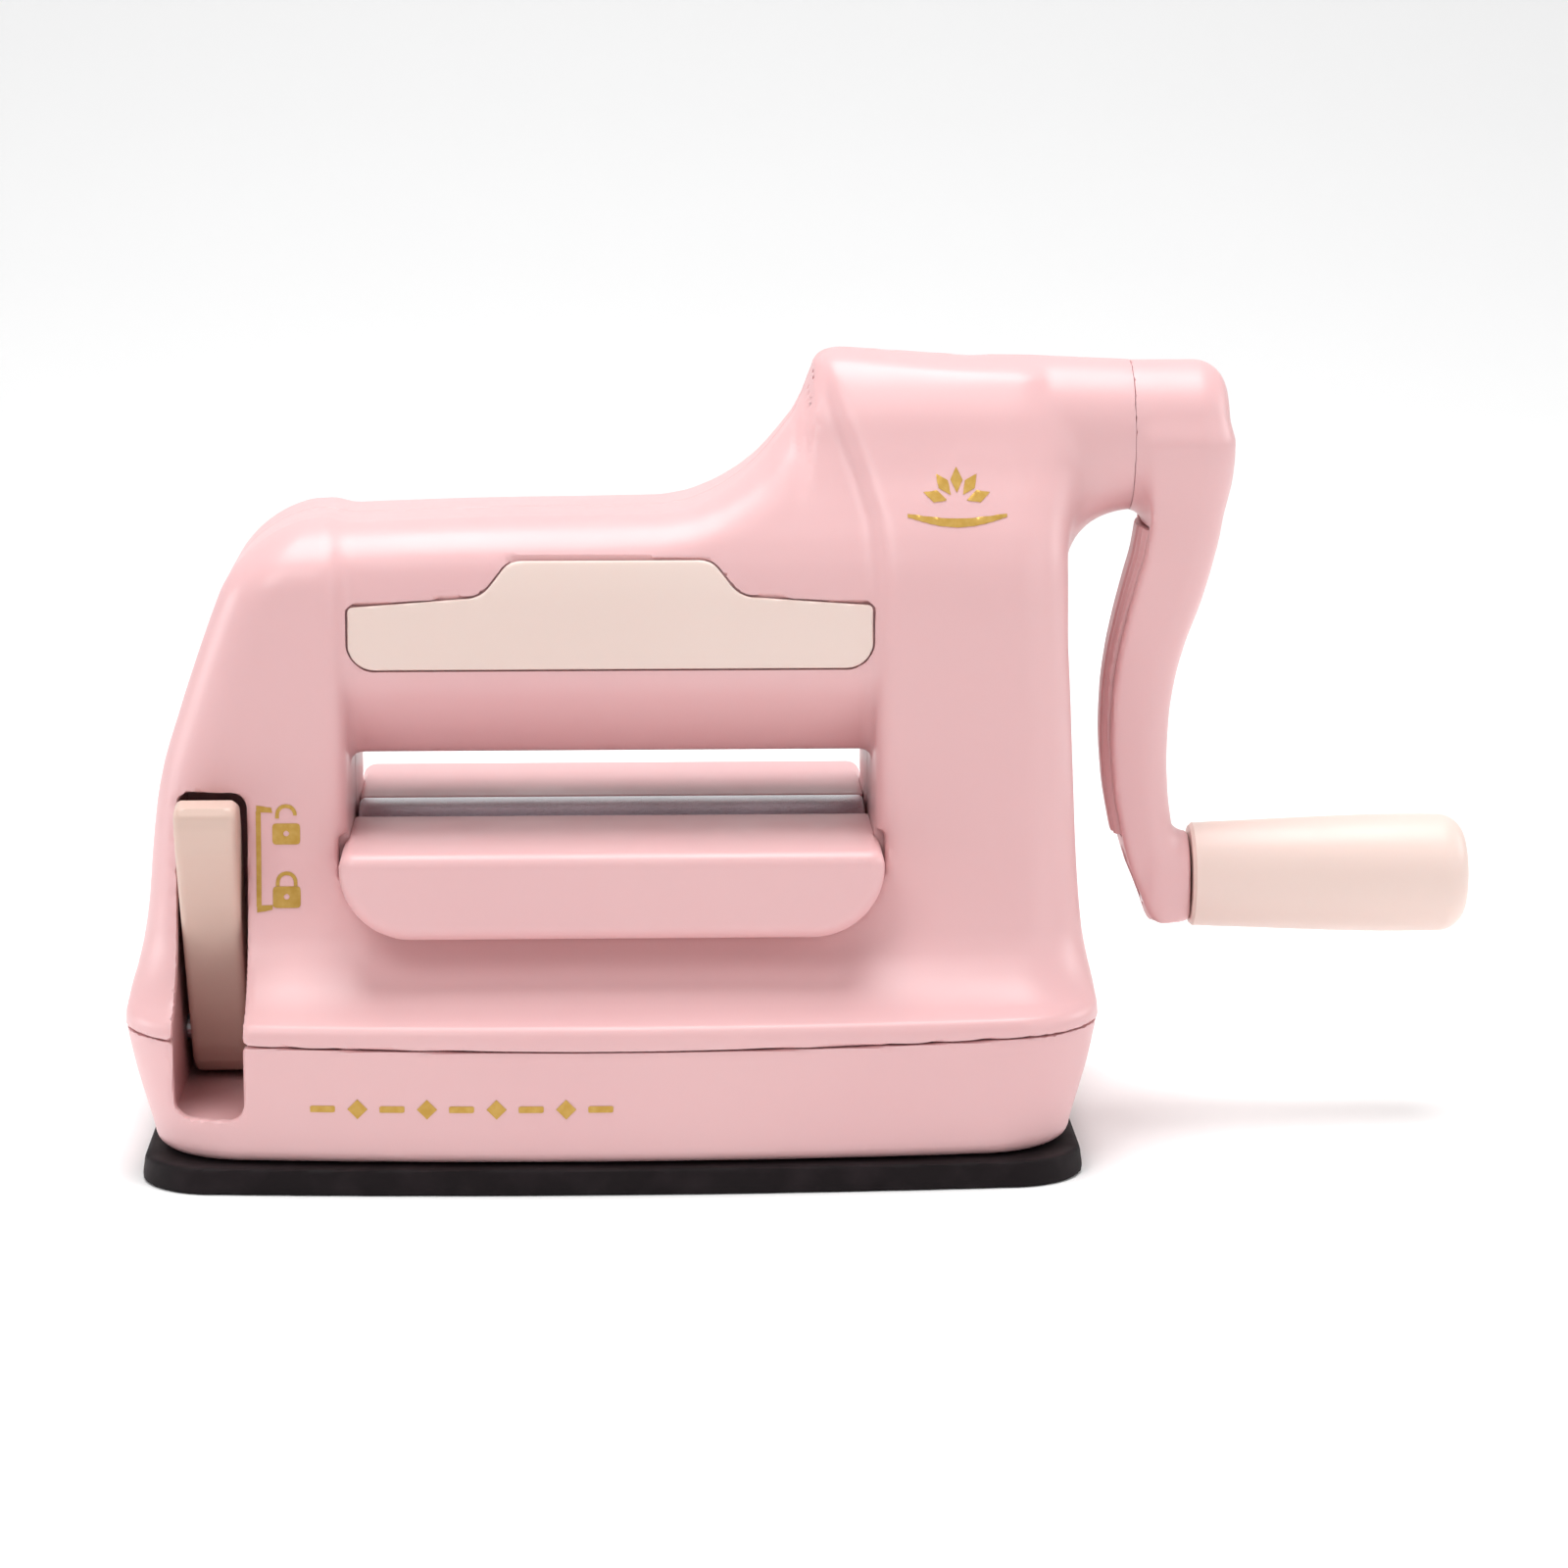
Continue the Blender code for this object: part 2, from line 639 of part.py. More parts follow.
def shaft_bracket():
    """Saddle on the base floor that holds the lever shaft beside the yoke."""
    outline = [(-20.5, 8.6), (4.5, 8.6), (4.5, 10.8), (-4.8, 13.4), (-5.0, 19.4), (-7.6, 21.6)]
    outline += [(-12.4, 21.6), (-15.0, 19.4), (-15.2, 13.4), (-20.5, 10.8)]
    for name, x0 in (("shaft_bracket_left", -9.0), ("shaft_bracket_right", 9.0)):
        plate = prism(name, outline, "x", x0 - 1.5, x0 + 1.5)
        combine(plate, [tube_cutter(x0 - 4, x0 + 4, 2.3, LEVER_Y, LEVER_Z, 16)])
        finish(plate, "steel")


# ---------------------------------------------------------------- trays and trim


def trays():
    """The folded feed trays in front and behind."""
    for name, side in (("front_tray", -1), ("rear_tray", 1)):
        outer = rounded_outline(-41.3, 41.3, 36.6, 49.9, 10.5, 6)
        inner = rounded_outline(-39.3, 39.3, 38.6, 48.6, 8.8, 6)
        spans = [sorted((a * side, b * side)) for a, b in ((24.3, 40.0), (18.0, 38.2))]
        tray = prism(name, outer, "y", *spans[0])
        sill = box("sill", (-40.0, 40.0), sorted((8.2 * side, 30.0 * side)), (48.75, 49.9))
        combine(tray, [prism("hollow", inner, "y", *spans[1])])
        combine(tray, [sill], "UNION")
        finish(tray, "pink_plastic")


def trim_panel():
    """The cream panel set flush in the bridge."""
    finish(prism("front_trim_panel", panel_outline(0), "y", -24.8, -23.8), "cream_plastic")


# ---------------------------------------------------------------- frame


def plate_outline(top):
    """Side plate: wide foot, narrow between the tray pockets."""
    half = [(30.0, 9.0), (30.0, 24.0), (26.0, 30.0), (20.4, 33.5), (20.4, 84.0)]
    half += [(16.0, 93.0), (12.0, 104.0), (10.2, 112.0), (5.6, 116.2)] if top > 100 else [(17.0, 90.0)]
    return half + [(-y, z) for y, z in reversed(half)]


def frame():
    """Steel side plates, gear plate, tie rods and posts."""
    holes = [(0.0, LOWER_Z, 6.0), (0.0, UPPER_Z, 6.0)]
    rods = ((-19.5, 25.0), (19.5, 25.0), (-12.0, 89.0), (12.0, 89.0))
    posts = ((-20.6, 63.0), (20.6, 63.0), (-27.0, 14.0), (27.0, 14.0))
    outline_left, outline_right = plate_outline(90), plate_outline(116)
    left = prism("left_side_plate", outline_left, "x", -PLATE_OUT, -PLATE_IN)
    right = prism("right_side_plate", outline_right, "x", PLATE_IN, PLATE_OUT)
    for y, z, r in holes:
        combine(left, [tube_cutter(-50, -40, r, y, z)])
        combine(right, [tube_cutter(40, 50, r, y, z)])
    combine(left, [tube_cutter(-50, -40, 2.6, LEVER_Y, LEVER_Z, 16)])
    combine(right, [tube_cutter(40, 50, 6.0, 0, CRANK_Z)])
    for i, (y, z) in enumerate(rods):
        finish(rod("tie_rod_%d" % (i + 1), -PLATE_IN + GAP, PLATE_IN - GAP, 3.0, y, z, 16), "steel")
    outer = [(28.6, 10.0), (28.6, 20.0), (23.5, 34.0), (22.2, 64.0), (18.2, 78.0), (15.2, 92.0)]
    outer += [(9.4, 104.0), (7.8, 112.0), (5.0, 116.0)]
    outer += [(-y, z) for y, z in reversed(outer)]
    cover = prism("gear_plate", outer, "x", *GEAR_PLATE)
    for z, r in ((LOWER_Z, 6.0), (CRANK_Z, 6.0), (IDLER_Z, 3.3)):
        combine(cover, [tube_cutter(60, 70, r, 0, z)])
    for i, (y, z) in enumerate(posts):
        post = rod("gear_post_%d" % (i + 1), PLATE_OUT + GAP, GEAR_PLATE[0] - GAP, 2.0, y, z, 12)
        finish(post, "steel")
    for plate in (left, right, cover):
        finish(plate, "zinc_plate")


def bush(name, x0, x1, z, flange):
    """Flanged sleeve pressed into a plate."""
    f = 0.9
    if flange > 0:
        rows = [(x0, 4.3), (x0, 5.7), (x1, 5.7), (x1, 7.2), (x1 + f, 7.2), (x1 + f, 4.3)]
    else:
        rows = [(x0 - f, 4.3), (x0 - f, 7.2), (x0, 7.2), (x0, 5.7), (x1, 5.7), (x1, 4.3)]
    finish(lathe(name, rows, 0.0, z, steps=18), "brass")


def bushes():
    """Bearings of both rollers and of the crank shaft."""
    bush("lower_bush_left", -PLATE_OUT, -PLATE_IN + 0.2, LOWER_Z, 1)
    bush("upper_bush_left", -PLATE_OUT, -PLATE_IN + 0.2, UPPER_Z, 1)
    bush("lower_bush_right", PLATE_IN - 0.2, PLATE_OUT, LOWER_Z, -1)
    bush("upper_bush_right", PLATE_IN - 0.2, PLATE_OUT, UPPER_Z, -1)
    bush("lower_bush_outer", GEAR_PLATE[0], GEAR_PLATE[1] + 0.2, LOWER_Z, 1)
    bush("crank_bush_inner", PLATE_IN - 0.2, PLATE_OUT, CRANK_Z, -1)
    bush("crank_bush_outer", GEAR_PLATE[0], GEAR_PLATE[1] + 0.2, CRANK_Z, 1)


# ---------------------------------------------------------------- rollers and gears


def rollers():
    """Two steel rollers on through shafts."""
    for name, z, end in (("lower", LOWER_Z, 68.0), ("upper", UPPER_Z, 52.6)):
        rows = [(-ROLLER_HALF, 4.3), (-ROLLER_HALF, 11.9), (-ROLLER_HALF + 0.6, ROLLER_R)]
        rows += [(ROLLER_HALF - 0.6, ROLLER_R), (ROLLER_HALF, 11.9), (ROLLER_HALF, 4.3)]
        finish(lathe(name + "_roller", rows, 0, z, steps=48), "steel", (0, 0, z))
        finish(rod(name + "_shaft", -47.5, end, SHAFT_R, 0, z, 24), "steel", (0, 0, z))


def gears():
    """Gear train from the crank down to the rollers."""
    up, down = math.pi / 2, -math.pi / 2
    bore = SHAFT_R + GAP
    lower = gear("lower_sync_gear", SYNC, PLANE_1, LOWER_Z, up, bore)
    upper = gear("upper_sync_gear", SYNC, PLANE_1, UPPER_Z, down + math.pi / SYNC[1], bore)
    drive = gear("lower_drive_gear", DRIVE, PLANE_2, LOWER_Z, up + math.pi / DRIVE[1], bore)
    pinion = gear("crank_pinion", PINION, PLANE_3, CRANK_Z, down + math.pi / PINION[1], bore)
    idler = gear("idler_gear", IDLER_BIG, PLANE_3, IDLER_Z, up, 0)
    small = gear("small", IDLER_SMALL, (PLANE_2[0], PLANE_3[0] + 0.4), IDLER_Z, down, 0)
    combine(idler, [small], "UNION")
    combine(idler, [tube_cutter(50, 70, 3.3, 0, IDLER_Z)])
    finish(lower, "gear_steel", (49, 0, LOWER_Z))
    finish(upper, "gear_steel", (49, 0, UPPER_Z))
    finish(drive, "gear_steel", (56, 0, LOWER_Z))
    finish(pinion, "gear_steel", (62, 0, CRANK_Z))
    finish(idler, "gear_steel", (60, 0, IDLER_Z))
    rows = [(53.2, 0), (53.2, 2.6), (53.6, 3.0), (67.1, 3.0), (67.1, 4.6), (67.55, 4.6), (67.55, 0)]
    finish(lathe("idler_pin", rows, 0, IDLER_Z, steps=20), "steel")


# ---------------------------------------------------------------- crank


ARM = (
    (32.0, 83.2, 88.6, 6.4),
    (36.0, 81.3, 87.9, 7.0),
    (41.0, 79.3, 87.2, 7.2),
    (48.0, 77.7, 86.0, 7.3),
    (55.0, 76.6, 85.4, 7.5),
    (62.0, 76.1, 85.6, 7.8),
    (68.0, 76.3, 86.1, 8.1),
    (74.0, 77.0, 87.3, 8.6),
    (80.0, 78.3, 89.1, 9.2),
    (86.0, 79.8, 91.2, 9.8),
    (92.0, 81.2, 92.5, 10.3),
    (98.0, 80.8, 93.3, 10.7),
    (104.0, 80.4, 93.6, 11.0),
)


def arm_section(z, x0, x1, half, r):
    """A rounded rectangle at height z on the arm."""
    return section(z, x0 + CRANK_OUT, x1 + CRANK_OUT, half, r, 0.0, 3)


def out(rows):
    """A turned profile of the crank moved to its place on the shaft."""
    return [(x + CRANK_OUT, r) for x, r in rows]


def crank():
    """Crank shaft, hollow arm with its cover, and the grip on its spindle."""
    pivot = (79 + CRANK_OUT, 0, CRANK_Z)
    arm = loft("crank_arm", [arm_section(z, a, b, h, 3.6) for z, a, b, h in ARM])
    disc_rows = [(79.0, 0), (79.0, 11.4), (79.3, 11.6), (88.5, 11.6)]
    disc_rows += [(91.6, 10.6), (93.4, 8.4), (94.1, 5.4), (94.1, 0)]
    collar_rows = [(82.0, 0), (82.0, 6.9), (88.6, 6.9), (89.0, 6.5), (89.0, 0)]
    collar = lathe("collar", out(collar_rows), 0, GRIP_Z, steps=24)
    combine(arm, [lathe("disc", out(disc_rows), 0, CRANK_Z, steps=28), collar], "UNION")
    pocket_rows = [row for row in ARM if 45 < row[0] < 95]
    pocket = loft("pocket", [arm_section(z, a - 6, b - 2.2, h - 2.2, 2.0) for z, a, b, h in pocket_rows])
    seat, collar_seat = 92.2 + CRANK_OUT, 83.6 + CRANK_OUT
    combine(arm, [pocket, tube_cutter(70, seat, SHAFT_R + GAP, 0, CRANK_Z)])
    combine(arm, [tube_cutter(seat - 2, 102, 5.0, 0, CRANK_Z), tube_cutter(70, 102, 2.8, 0, GRIP_Z)])
    combine(arm, [tube_cutter(70, collar_seat, 4.8, 0, GRIP_Z)])
    finish(arm, "pink_plastic", pivot)
    cover_rows = [row for row in ARM if 45 < row[0] < 95]
    rings = [arm_section(z, a - 0.9, a + 1.2, h - 2.5, 0.8) for z, a, b, h in cover_rows]
    rings[0] = [(x, y, z + 0.3) for x, y, z in rings[0]]
    rings[-1] = [(x, y, z - 0.3) for x, y, z in rings[-1]]
    finish(loft("crank_arm_cover", rings), "pink_plastic", pivot)
    shaft = rod("crank_shaft", 42.0, seat - 0.3, SHAFT_R, 0, CRANK_Z, 24)
    finish(shaft, "steel", pivot)
    cap = [(92.25, 0), (92.25, 4.7), (93.6, 4.7), (94.0, 4.2), (94.1, 0)]
    finish(lathe("crank_cap", out(cap), 0, CRANK_Z, steps=24), "pink_plastic", pivot)
    grip()


def grip():
    """Turned grip, its spindle and the clip that keeps it on."""
    pivot = (110 + CRANK_OUT, 0, GRIP_Z)
    rows = [(89.4, 2.8), (89.4, 7.6), (90.2, 8.3), (100, 8.75), (112, 9.2), (122, 9.4), (128, 9.3)]
    rows += [(131, 8.7), (132.7, 7.3), (133.3, 5.0), (133.3, 0), (129.5, 0), (129.5, 4.6)]
    rows += [(127.0, 4.6), (127.0, 2.8)]
    finish(lathe("grip", out(rows), 0, GRIP_Z, steps=28), "cream_plastic", pivot)
    pin = [(82.0, 0), (82.0, 4.4), (83.2, 4.4), (83.2, 2.5), (128.9, 2.5), (129.1, 2.2), (129.1, 0)]
    finish(lathe("grip_spindle", out(pin), 0, GRIP_Z, steps=20), "steel", pivot)
    clip = [(127.4, 2.8), (127.4, 4.2), (128.3, 4.2), (128.3, 2.8)]
    finish(lathe("grip_clip", out(clip), 0, GRIP_Z, steps=20), "steel", pivot)


material("pink_plastic", (0.84, 0.52, 0.53), 0.0, 0.38)
material("cream_plastic", (0.88, 0.76, 0.68), 0.0, 0.4)
material("black_rubber", (0.02, 0.015, 0.017), 0.0, 0.8)
material("steel", (0.62, 0.62, 0.64), 1.0, 0.3)
material("zinc_plate", (0.55, 0.56, 0.58), 1.0, 0.45)
material("gear_steel", (0.42, 0.42, 0.44), 1.0, 0.4)
material("brass", (0.75, 0.58, 0.3), 1.0, 0.35)

housing()
housing_screws()
base_shell()
lever_well()
suction_foot()
suction_pad()
pull_stem()
lever()
shaft_bracket()
trays()
trim_panel()
frame()
bushes()
rollers()
gears()
crank()
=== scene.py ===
"""Looks of the die cutting machine: smooth moulded shells, print, rubber and metal round the CAD frame."""

import json
import math

import bmesh
import bpy
import numpy as np
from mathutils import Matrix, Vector


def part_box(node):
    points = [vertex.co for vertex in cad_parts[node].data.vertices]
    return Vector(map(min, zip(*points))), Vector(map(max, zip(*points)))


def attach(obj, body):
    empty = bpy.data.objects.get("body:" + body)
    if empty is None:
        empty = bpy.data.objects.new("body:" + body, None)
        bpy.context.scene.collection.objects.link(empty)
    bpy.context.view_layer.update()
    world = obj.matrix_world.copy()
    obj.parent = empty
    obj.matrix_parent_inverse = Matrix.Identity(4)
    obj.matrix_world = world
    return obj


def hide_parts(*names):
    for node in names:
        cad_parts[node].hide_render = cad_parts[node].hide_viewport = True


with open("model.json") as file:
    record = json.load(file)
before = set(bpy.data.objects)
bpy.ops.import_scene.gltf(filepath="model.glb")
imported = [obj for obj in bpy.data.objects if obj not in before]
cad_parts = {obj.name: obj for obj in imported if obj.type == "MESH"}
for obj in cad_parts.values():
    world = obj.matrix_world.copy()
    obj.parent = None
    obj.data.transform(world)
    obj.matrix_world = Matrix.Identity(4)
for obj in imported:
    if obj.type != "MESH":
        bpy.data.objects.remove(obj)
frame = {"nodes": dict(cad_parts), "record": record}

# Shapes are worked out in millimetres in the body frame: x from the middle of the
# feed gap, y from the joint between the housing halves, z from the table.
MM = 0.001


def span(node, axis):
    """Lowest and highest place of a CAD node along one axis, in millimetres."""
    low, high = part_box(node)
    return low[axis] / MM, high[axis] / MM


def middle(node, axis):
    """Middle of a CAD node along one axis, in millimetres."""
    return sum(span(node, axis)) / 2


MID_X = middle("lower_roller", 0)
CRANK_Z = middle("crank_shaft", 2)
GRIP_Z = middle("grip", 2)
LOWER_Z = middle("lower_roller", 2)
UPPER_Z = middle("upper_roller", 2)
ROLLER_R = (span("lower_roller", 2)[1] - span("lower_roller", 2)[0]) / 2
ROLLER_HALF = span("lower_roller", 0)[1] - MID_X
LEVER_Y = middle("lever_shaft", 1)
LEVER_Z = middle("lever_shaft", 2)
LEVER_X = middle("suction_lever", 0) - MID_X
LEVER_HALF = (span("suction_lever", 0)[1] - span("suction_lever", 0)[0]) / 2
SEAM_Z = span("base_shell", 2)[1]
BASE_Z = span("base_shell", 2)[0]
FOOT_TOP = span("suction_foot", 2)[1]
FOOT_HALF = (span("suction_foot", 0)[1] - span("suction_foot", 0)[0]) / 2
FOOT_DEPTH = span("suction_foot", 1)[1]
TRAY_TOP = span("front_tray", 2)[1]
TRAY_BOTTOM = span("front_tray", 2)[0]
TRAY_REACH = span("rear_tray", 1)[1]
TRAY_HALF = (span("front_tray", 0)[1] - span("front_tray", 0)[0]) / 2
HUB_FACE = span("crank_arm", 0)[0] - MID_X + 2.5
ARM_END = span("crank_arm", 0)[1] - MID_X
HUB_INNER, CAP_SEAT, HUB_OUTER = 79.0, 92.2, 94.1
CRANK_OUT = ARM_END - HUB_OUTER
GRIP_START, GRIP_END = (v - MID_X for v in span("grip", 0))

GAP_HALF = ROLLER_HALF + 0.6
SLOT_LOW, SLOT_HIGH = TRAY_TOP - 1.5, UPPER_Z - ROLLER_R + 1.1
SHAFT_HOLE_R = 4.7
WALL = 2.2
SEAM_GAP = 0.14
SEAM_EDGE = 0.5
MOUTH_EDGE = 0.9
FINE, MEDIUM, COARSE = 0.35, 0.55, 0.8

# ---------------------------------------------------------------- shape tools


def curve(*points):
    """A smooth function through a few (place, value) points, level beyond the ends."""
    x = np.array([p[0] for p in points], float)
    y = np.array([p[1] for p in points], float)
    h = np.diff(x)
    d = np.diff(y) / h
    m = np.empty(len(x))
    m[0], m[-1] = d[0], d[-1]
    rise = d[:-1] * d[1:] > 0
    m[1:-1] = np.where(rise, 2 * d[:-1] * d[1:] / np.where(rise, d[:-1] + d[1:], 1), 0)
    fine_x, fine_y = [], []
    for i in range(len(h)):
        t = np.linspace(0, 1, 40, endpoint=i == len(h) - 1)
        a = (1 + 2 * t) * (1 - t) ** 2 * y[i] + t * (1 - t) ** 2 * h[i] * m[i]
        b = t * t * (3 - 2 * t) * y[i + 1] + t * t * (t - 1) * h[i] * m[i + 1]
        fine_x.append(x[i] + t * h[i])
        fine_y.append(a + b)
    fx, fy = np.concatenate(fine_x), np.concatenate(fine_y)
    return lambda v: np.interp(v, fx, fy)


def steepness(function, v, step=0.25):
    """Length of the normal of a graph, to turn a height difference into a distance."""
    return np.sqrt(1 + ((function(v + step) - function(v - step)) / (2 * step)) ** 2)


def rounded(a, b, r):
    """Where both hold, with the edge between them rounded to radius r."""
    return np.minimum(-r, np.maximum(a, b)) + np.hypot(np.maximum(a + r, 0), np.maximum(b + r, 0))


def join(a, b, k):
    """Either of two shapes, with a fillet where they meet."""
    h = np.maximum(k - np.abs(a - b), 0) / k
    return np.minimum(a, b) - h * h * k / 4


def meet(a, b, k):
    """Where both hold, with a soft edge."""
    return -join(-a, -b, k)


def slab(v, low, high):
    """Distance into the room between two parallel planes."""
    return np.maximum(low - v, v - high)


def block2(u, v, half_u, low_v, high_v, r):
    """Rounded rectangle in two directions, centred on u = 0."""
    mid, half_v = (low_v + high_v) / 2, (high_v - low_v) / 2
    a, b = np.abs(u) - half_u + r, np.abs(v - mid) - half_v + r
    return np.minimum(np.maximum(a, b), 0) + np.hypot(np.maximum(a, 0), np.maximum(b, 0)) - r


def polygon2(u, v, corners):
    """Signed distance to a closed outline."""
    best = np.full(np.broadcast(u, v).shape, 1e9)
    inside = np.zeros(best.shape, bool)
    for (x0, y0), (x1, y1) in zip(corners, corners[1:] + corners[:1]):
        ex, ey = x1 - x0, y1 - y0
        px, py = u - x0, v - y0
        t = np.clip((px * ex + py * ey) / (ex * ex + ey * ey), 0, 1)
        best = np.minimum(best, (px - ex * t) ** 2 + (py - ey * t) ** 2)
        crosses = ((y0 > v) != (y1 > v)) & (px < ex * py / (ey if ey else 1e-9))
        inside = inside ^ crosses
    return np.sqrt(best) * np.where(inside, -1, 1)


def sample_grid(shape, low, high, step):
    """The shape's distances on a regular grid."""
    axes = [np.arange(a, b + step, step) for a, b in zip(low, high)]
    x, y, z = axes[0][:, None, None], axes[1][None, :, None], axes[2][None, None, :]
    size = tuple(len(a) for a in axes)
    return np.ascontiguousarray(np.broadcast_to(shape(x, y, z), size), np.float32)


def slopes(shape, points, step=0.02):
    """Unit normals of the shape at points."""
    normal = np.empty_like(points)
    for axis in range(3):
        shift = np.zeros(3)
        shift[axis] = step
        ahead, back = points + shift, points - shift
        normal[:, axis] = shape(*ahead.T) - shape(*back.T)
    return normal / np.maximum(np.linalg.norm(normal, axis=1), 1e-9)[:, None]


def skin(shape, low, high, step):
    """Points and quads of the surface where the shape's distance is zero, edges kept sharp."""
    low = np.array(low, float)
    grid = sample_grid(shape, low, high, step)
    inside = grid < 0
    size = np.array(grid.shape)
    hits, quads = [], []
    for axis in range(3):
        near, far = [slice(None)] * 3, [slice(None)] * 3
        near[axis], far[axis] = slice(0, -1), slice(1, None)
        crossed = inside[tuple(near)] != inside[tuple(far)]
        place = np.argwhere(crossed)
        before, after = grid[tuple(near)][crossed], grid[tuple(far)][crossed]
        point = place.astype(float)
        point[:, axis] += before / (before - after)
        hits.append(low + point * step)
        u, v = (axis + 1) % 3, (axis + 2) % 3
        ring = []
        for du, dv in ((0, 0), (1, 0), (1, 1), (0, 1)):
            cell = place.copy()
            cell[:, u] -= du
            cell[:, v] -= dv
            ring.append((cell[:, 0] * size[1] + cell[:, 1]) * size[2] + cell[:, 2])
        quad = np.stack(ring, 1)
        turned = before > 0
        quad[turned] = quad[turned][:, ::-1]
        quads.append(quad)
    hits, quads = np.concatenate(hits), np.concatenate(quads)
    cells, index = np.unique(quads.ravel(), return_inverse=True)
    index = index.reshape(-1)
    owner = np.repeat(np.arange(len(hits)), 4)
    count = np.bincount(index)
    normal = slopes(shape, hits)

    def gathered(values):
        """Mean of the crossings' values in each cell."""
        return np.stack([np.bincount(index, weights=values[:, k]) for k in range(3)], 1) / count[:, None]

    points = gathered(hits[owner])
    corner = np.stack([cells // (size[1] * size[2]), cells // size[2] % size[1], cells % size[2]], 1)
    corner = low + corner * step
    for _ in range(12):
        gap = ((hits[owner] - points[index]) * normal[owner]).sum(1)
        points += gathered(gap[:, None] * normal[owner])
        points = np.clip(points, corner, corner + step)
    return points, index.reshape(-1, 4)


def dress(obj, slot, body, material, *nodes):
    """Hand a finished piece its material, its body and the CAD nodes it stands for."""
    obj.data.materials.clear()
    obj.data.materials.append(material)
    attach(obj, body)
    if nodes:
        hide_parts(*nodes)
    return obj


def piece(name, points, faces, sharp=38):
    """A mesh object from points in millimetres of the body frame."""
    mesh = bpy.data.meshes.new(name)
    moved = (np.array(points) + (MID_X, 0, 0)) * MM
    mesh.from_pydata(moved.tolist(), [], [list(map(int, f)) for f in faces])
    mesh.validate()
    mesh.polygons.foreach_set("use_smooth", np.ones(len(mesh.polygons), bool))
    mesh.set_sharp_from_angle(angle=math.radians(sharp))
    obj = bpy.data.objects.new(name, mesh)
    bpy.context.scene.collection.objects.link(obj)
    return obj


def moulded(name, shape, low, high, step):
    """A piece whose surface is worked out from its shape."""
    return piece(name, *skin(shape, low, high, step))


def turned(name, profile, y, z, steps=96, sharp=30):
    """A piece turned about an axis along x from (x, radius) pairs, closed at radius 0 or as a ring."""
    bm = bmesh.new()
    verts = [bm.verts.new((p, 0.0, r)) for p, r in profile]
    pairs = [(i, i - 1) for i in range(len(verts)) if profile[i][1] or profile[i - 1][1]]
    edges = [bm.edges.new((verts[i], verts[j])) for i, j in pairs]
    bmesh.ops.spin(
        bm, geom=verts + edges, cent=(0, 0, 0), axis=(1, 0, 0), dvec=(0, 0, 0),
        angle=2 * math.pi, steps=steps, use_merge=True,
    )
    bmesh.ops.remove_doubles(bm, verts=bm.verts, dist=0.0001)
    bmesh.ops.recalc_face_normals(bm, faces=bm.faces)
    if bm.calc_volume(signed=True) < 0:
        bmesh.ops.reverse_faces(bm, faces=bm.faces)
    bm.verts.index_update()
    points = [(v.co.x, v.co.y + y, v.co.z + z) for v in bm.verts]
    faces = [[v.index for v in f.verts] for f in bm.faces]
    bm.free()
    return piece(name, points, faces, sharp)


def arc(cx, cr, radius, start, end, steps=8):
    """Points of a round stretch of a turned profile, angles in degrees."""
    turns = [math.radians(start + (end - start) * k / steps) for k in range(steps + 1)]
    return [(cx + radius * math.cos(t), cr + radius * math.sin(t)) for t in turns]


# ---------------------------------------------------------------- housing shape

LEFT = curve(
    (20, -74.1), (24, -74.0), (27, -73.6), (30, -72.8), (34, -71.9), (40, -71.0), (47.5, -70.4),
    (54, -69.7), (60, -68.6), (68.5, -66.0), (76, -63.5), (84, -60.6), (92, -57.4), (100, -53.8),
)
RIGHT = curve(
    (20, 74.2), (24, 74.1), (27, 73.8), (30, 73.2), (34, 72.5), (40, 71.9), (47, 71.5),
    (57, 71.1), (70, 70.6), (80, 70.2), (124, 70.1),
)
TOP = curve(
    (-80, 91.0), (-62, 95.0), (-54, 96.5), (-43, 97.5), (-32, 98.0), (-18, 98.4), (0, 98.6), (7, 98.7),
    (11, 99.3), (14.8, 100.7), (18.6, 102.9), (22, 105.7), (25.2, 109.4), (27.9, 113.4),
    (29.7, 117.6), (30.8, 120.6), (31.7, 122.4), (32.8, 123.1), (35.5, 123.1), (42, 122.4), (50, 121.4),
    (60, 120.7), (80, 120.2),
)
DEPTH = curve(
    (20, 47.7), (23.6, 47.5), (24.7, 46.9), (25.4, 45.4), (26.4, 42.9), (28, 39.9), (30, 37.0),
    (33, 33.8), (36, 31.7), (40, 30.0), (45, 28.8), (50, 28.2), (58, 27.6), (70, 26.9), (80, 26.3),
    (86, 26.0), (90, 25.3), (95, 23.4), (100, 20.5), (104, 18.0), (CRANK_Z, 15.8), (112.5, 13.8),
    (116, 11.3), (118.6, 8.9), (120.4, 6.4), (121.7, 3.8), (123, 0.5),
)
BOW = curve((20, 5.0), (24, 5.0), (27, 4.2), (30, 3.0), (34, 1.8), (38, 0.7), (44, 0.0), (60, 0.0))
PLAN_R = curve((20, 13.0), (26, 12.5), (40, 9.5), (90, 9.0), (100, 8.5), (110, 8.0))
BRIDGE = curve(
    (58, 13.4), (SLOT_HIGH, 15.0), (63.2, 17.0), (66, 19.5), (69.5, 22.0), (73, 23.9), (75.2, 24.6),
    (80, 24.3), (86, 23.9), (90, 23.1), (94, 21.6), (98, 19.4), (102, 17.0), (CRANK_Z, 13.4),
    (112.5, 11.6), (116, 9.4), (119, 6.8), (121, 4.4), (123, 0.4),
)
RECESS_RIGHT = curve(
    (50, GAP_HALF), (90, GAP_HALF), (97, 39.6), (102, 38.2), (108, 36.2), (114, 33.9), (120, 31.8),
)
NECK_FILLET = curve((90, 13.0), (98, 12.0), (106, 6.0), (112, 2.0), (118, 0.6), (125, 0.5))
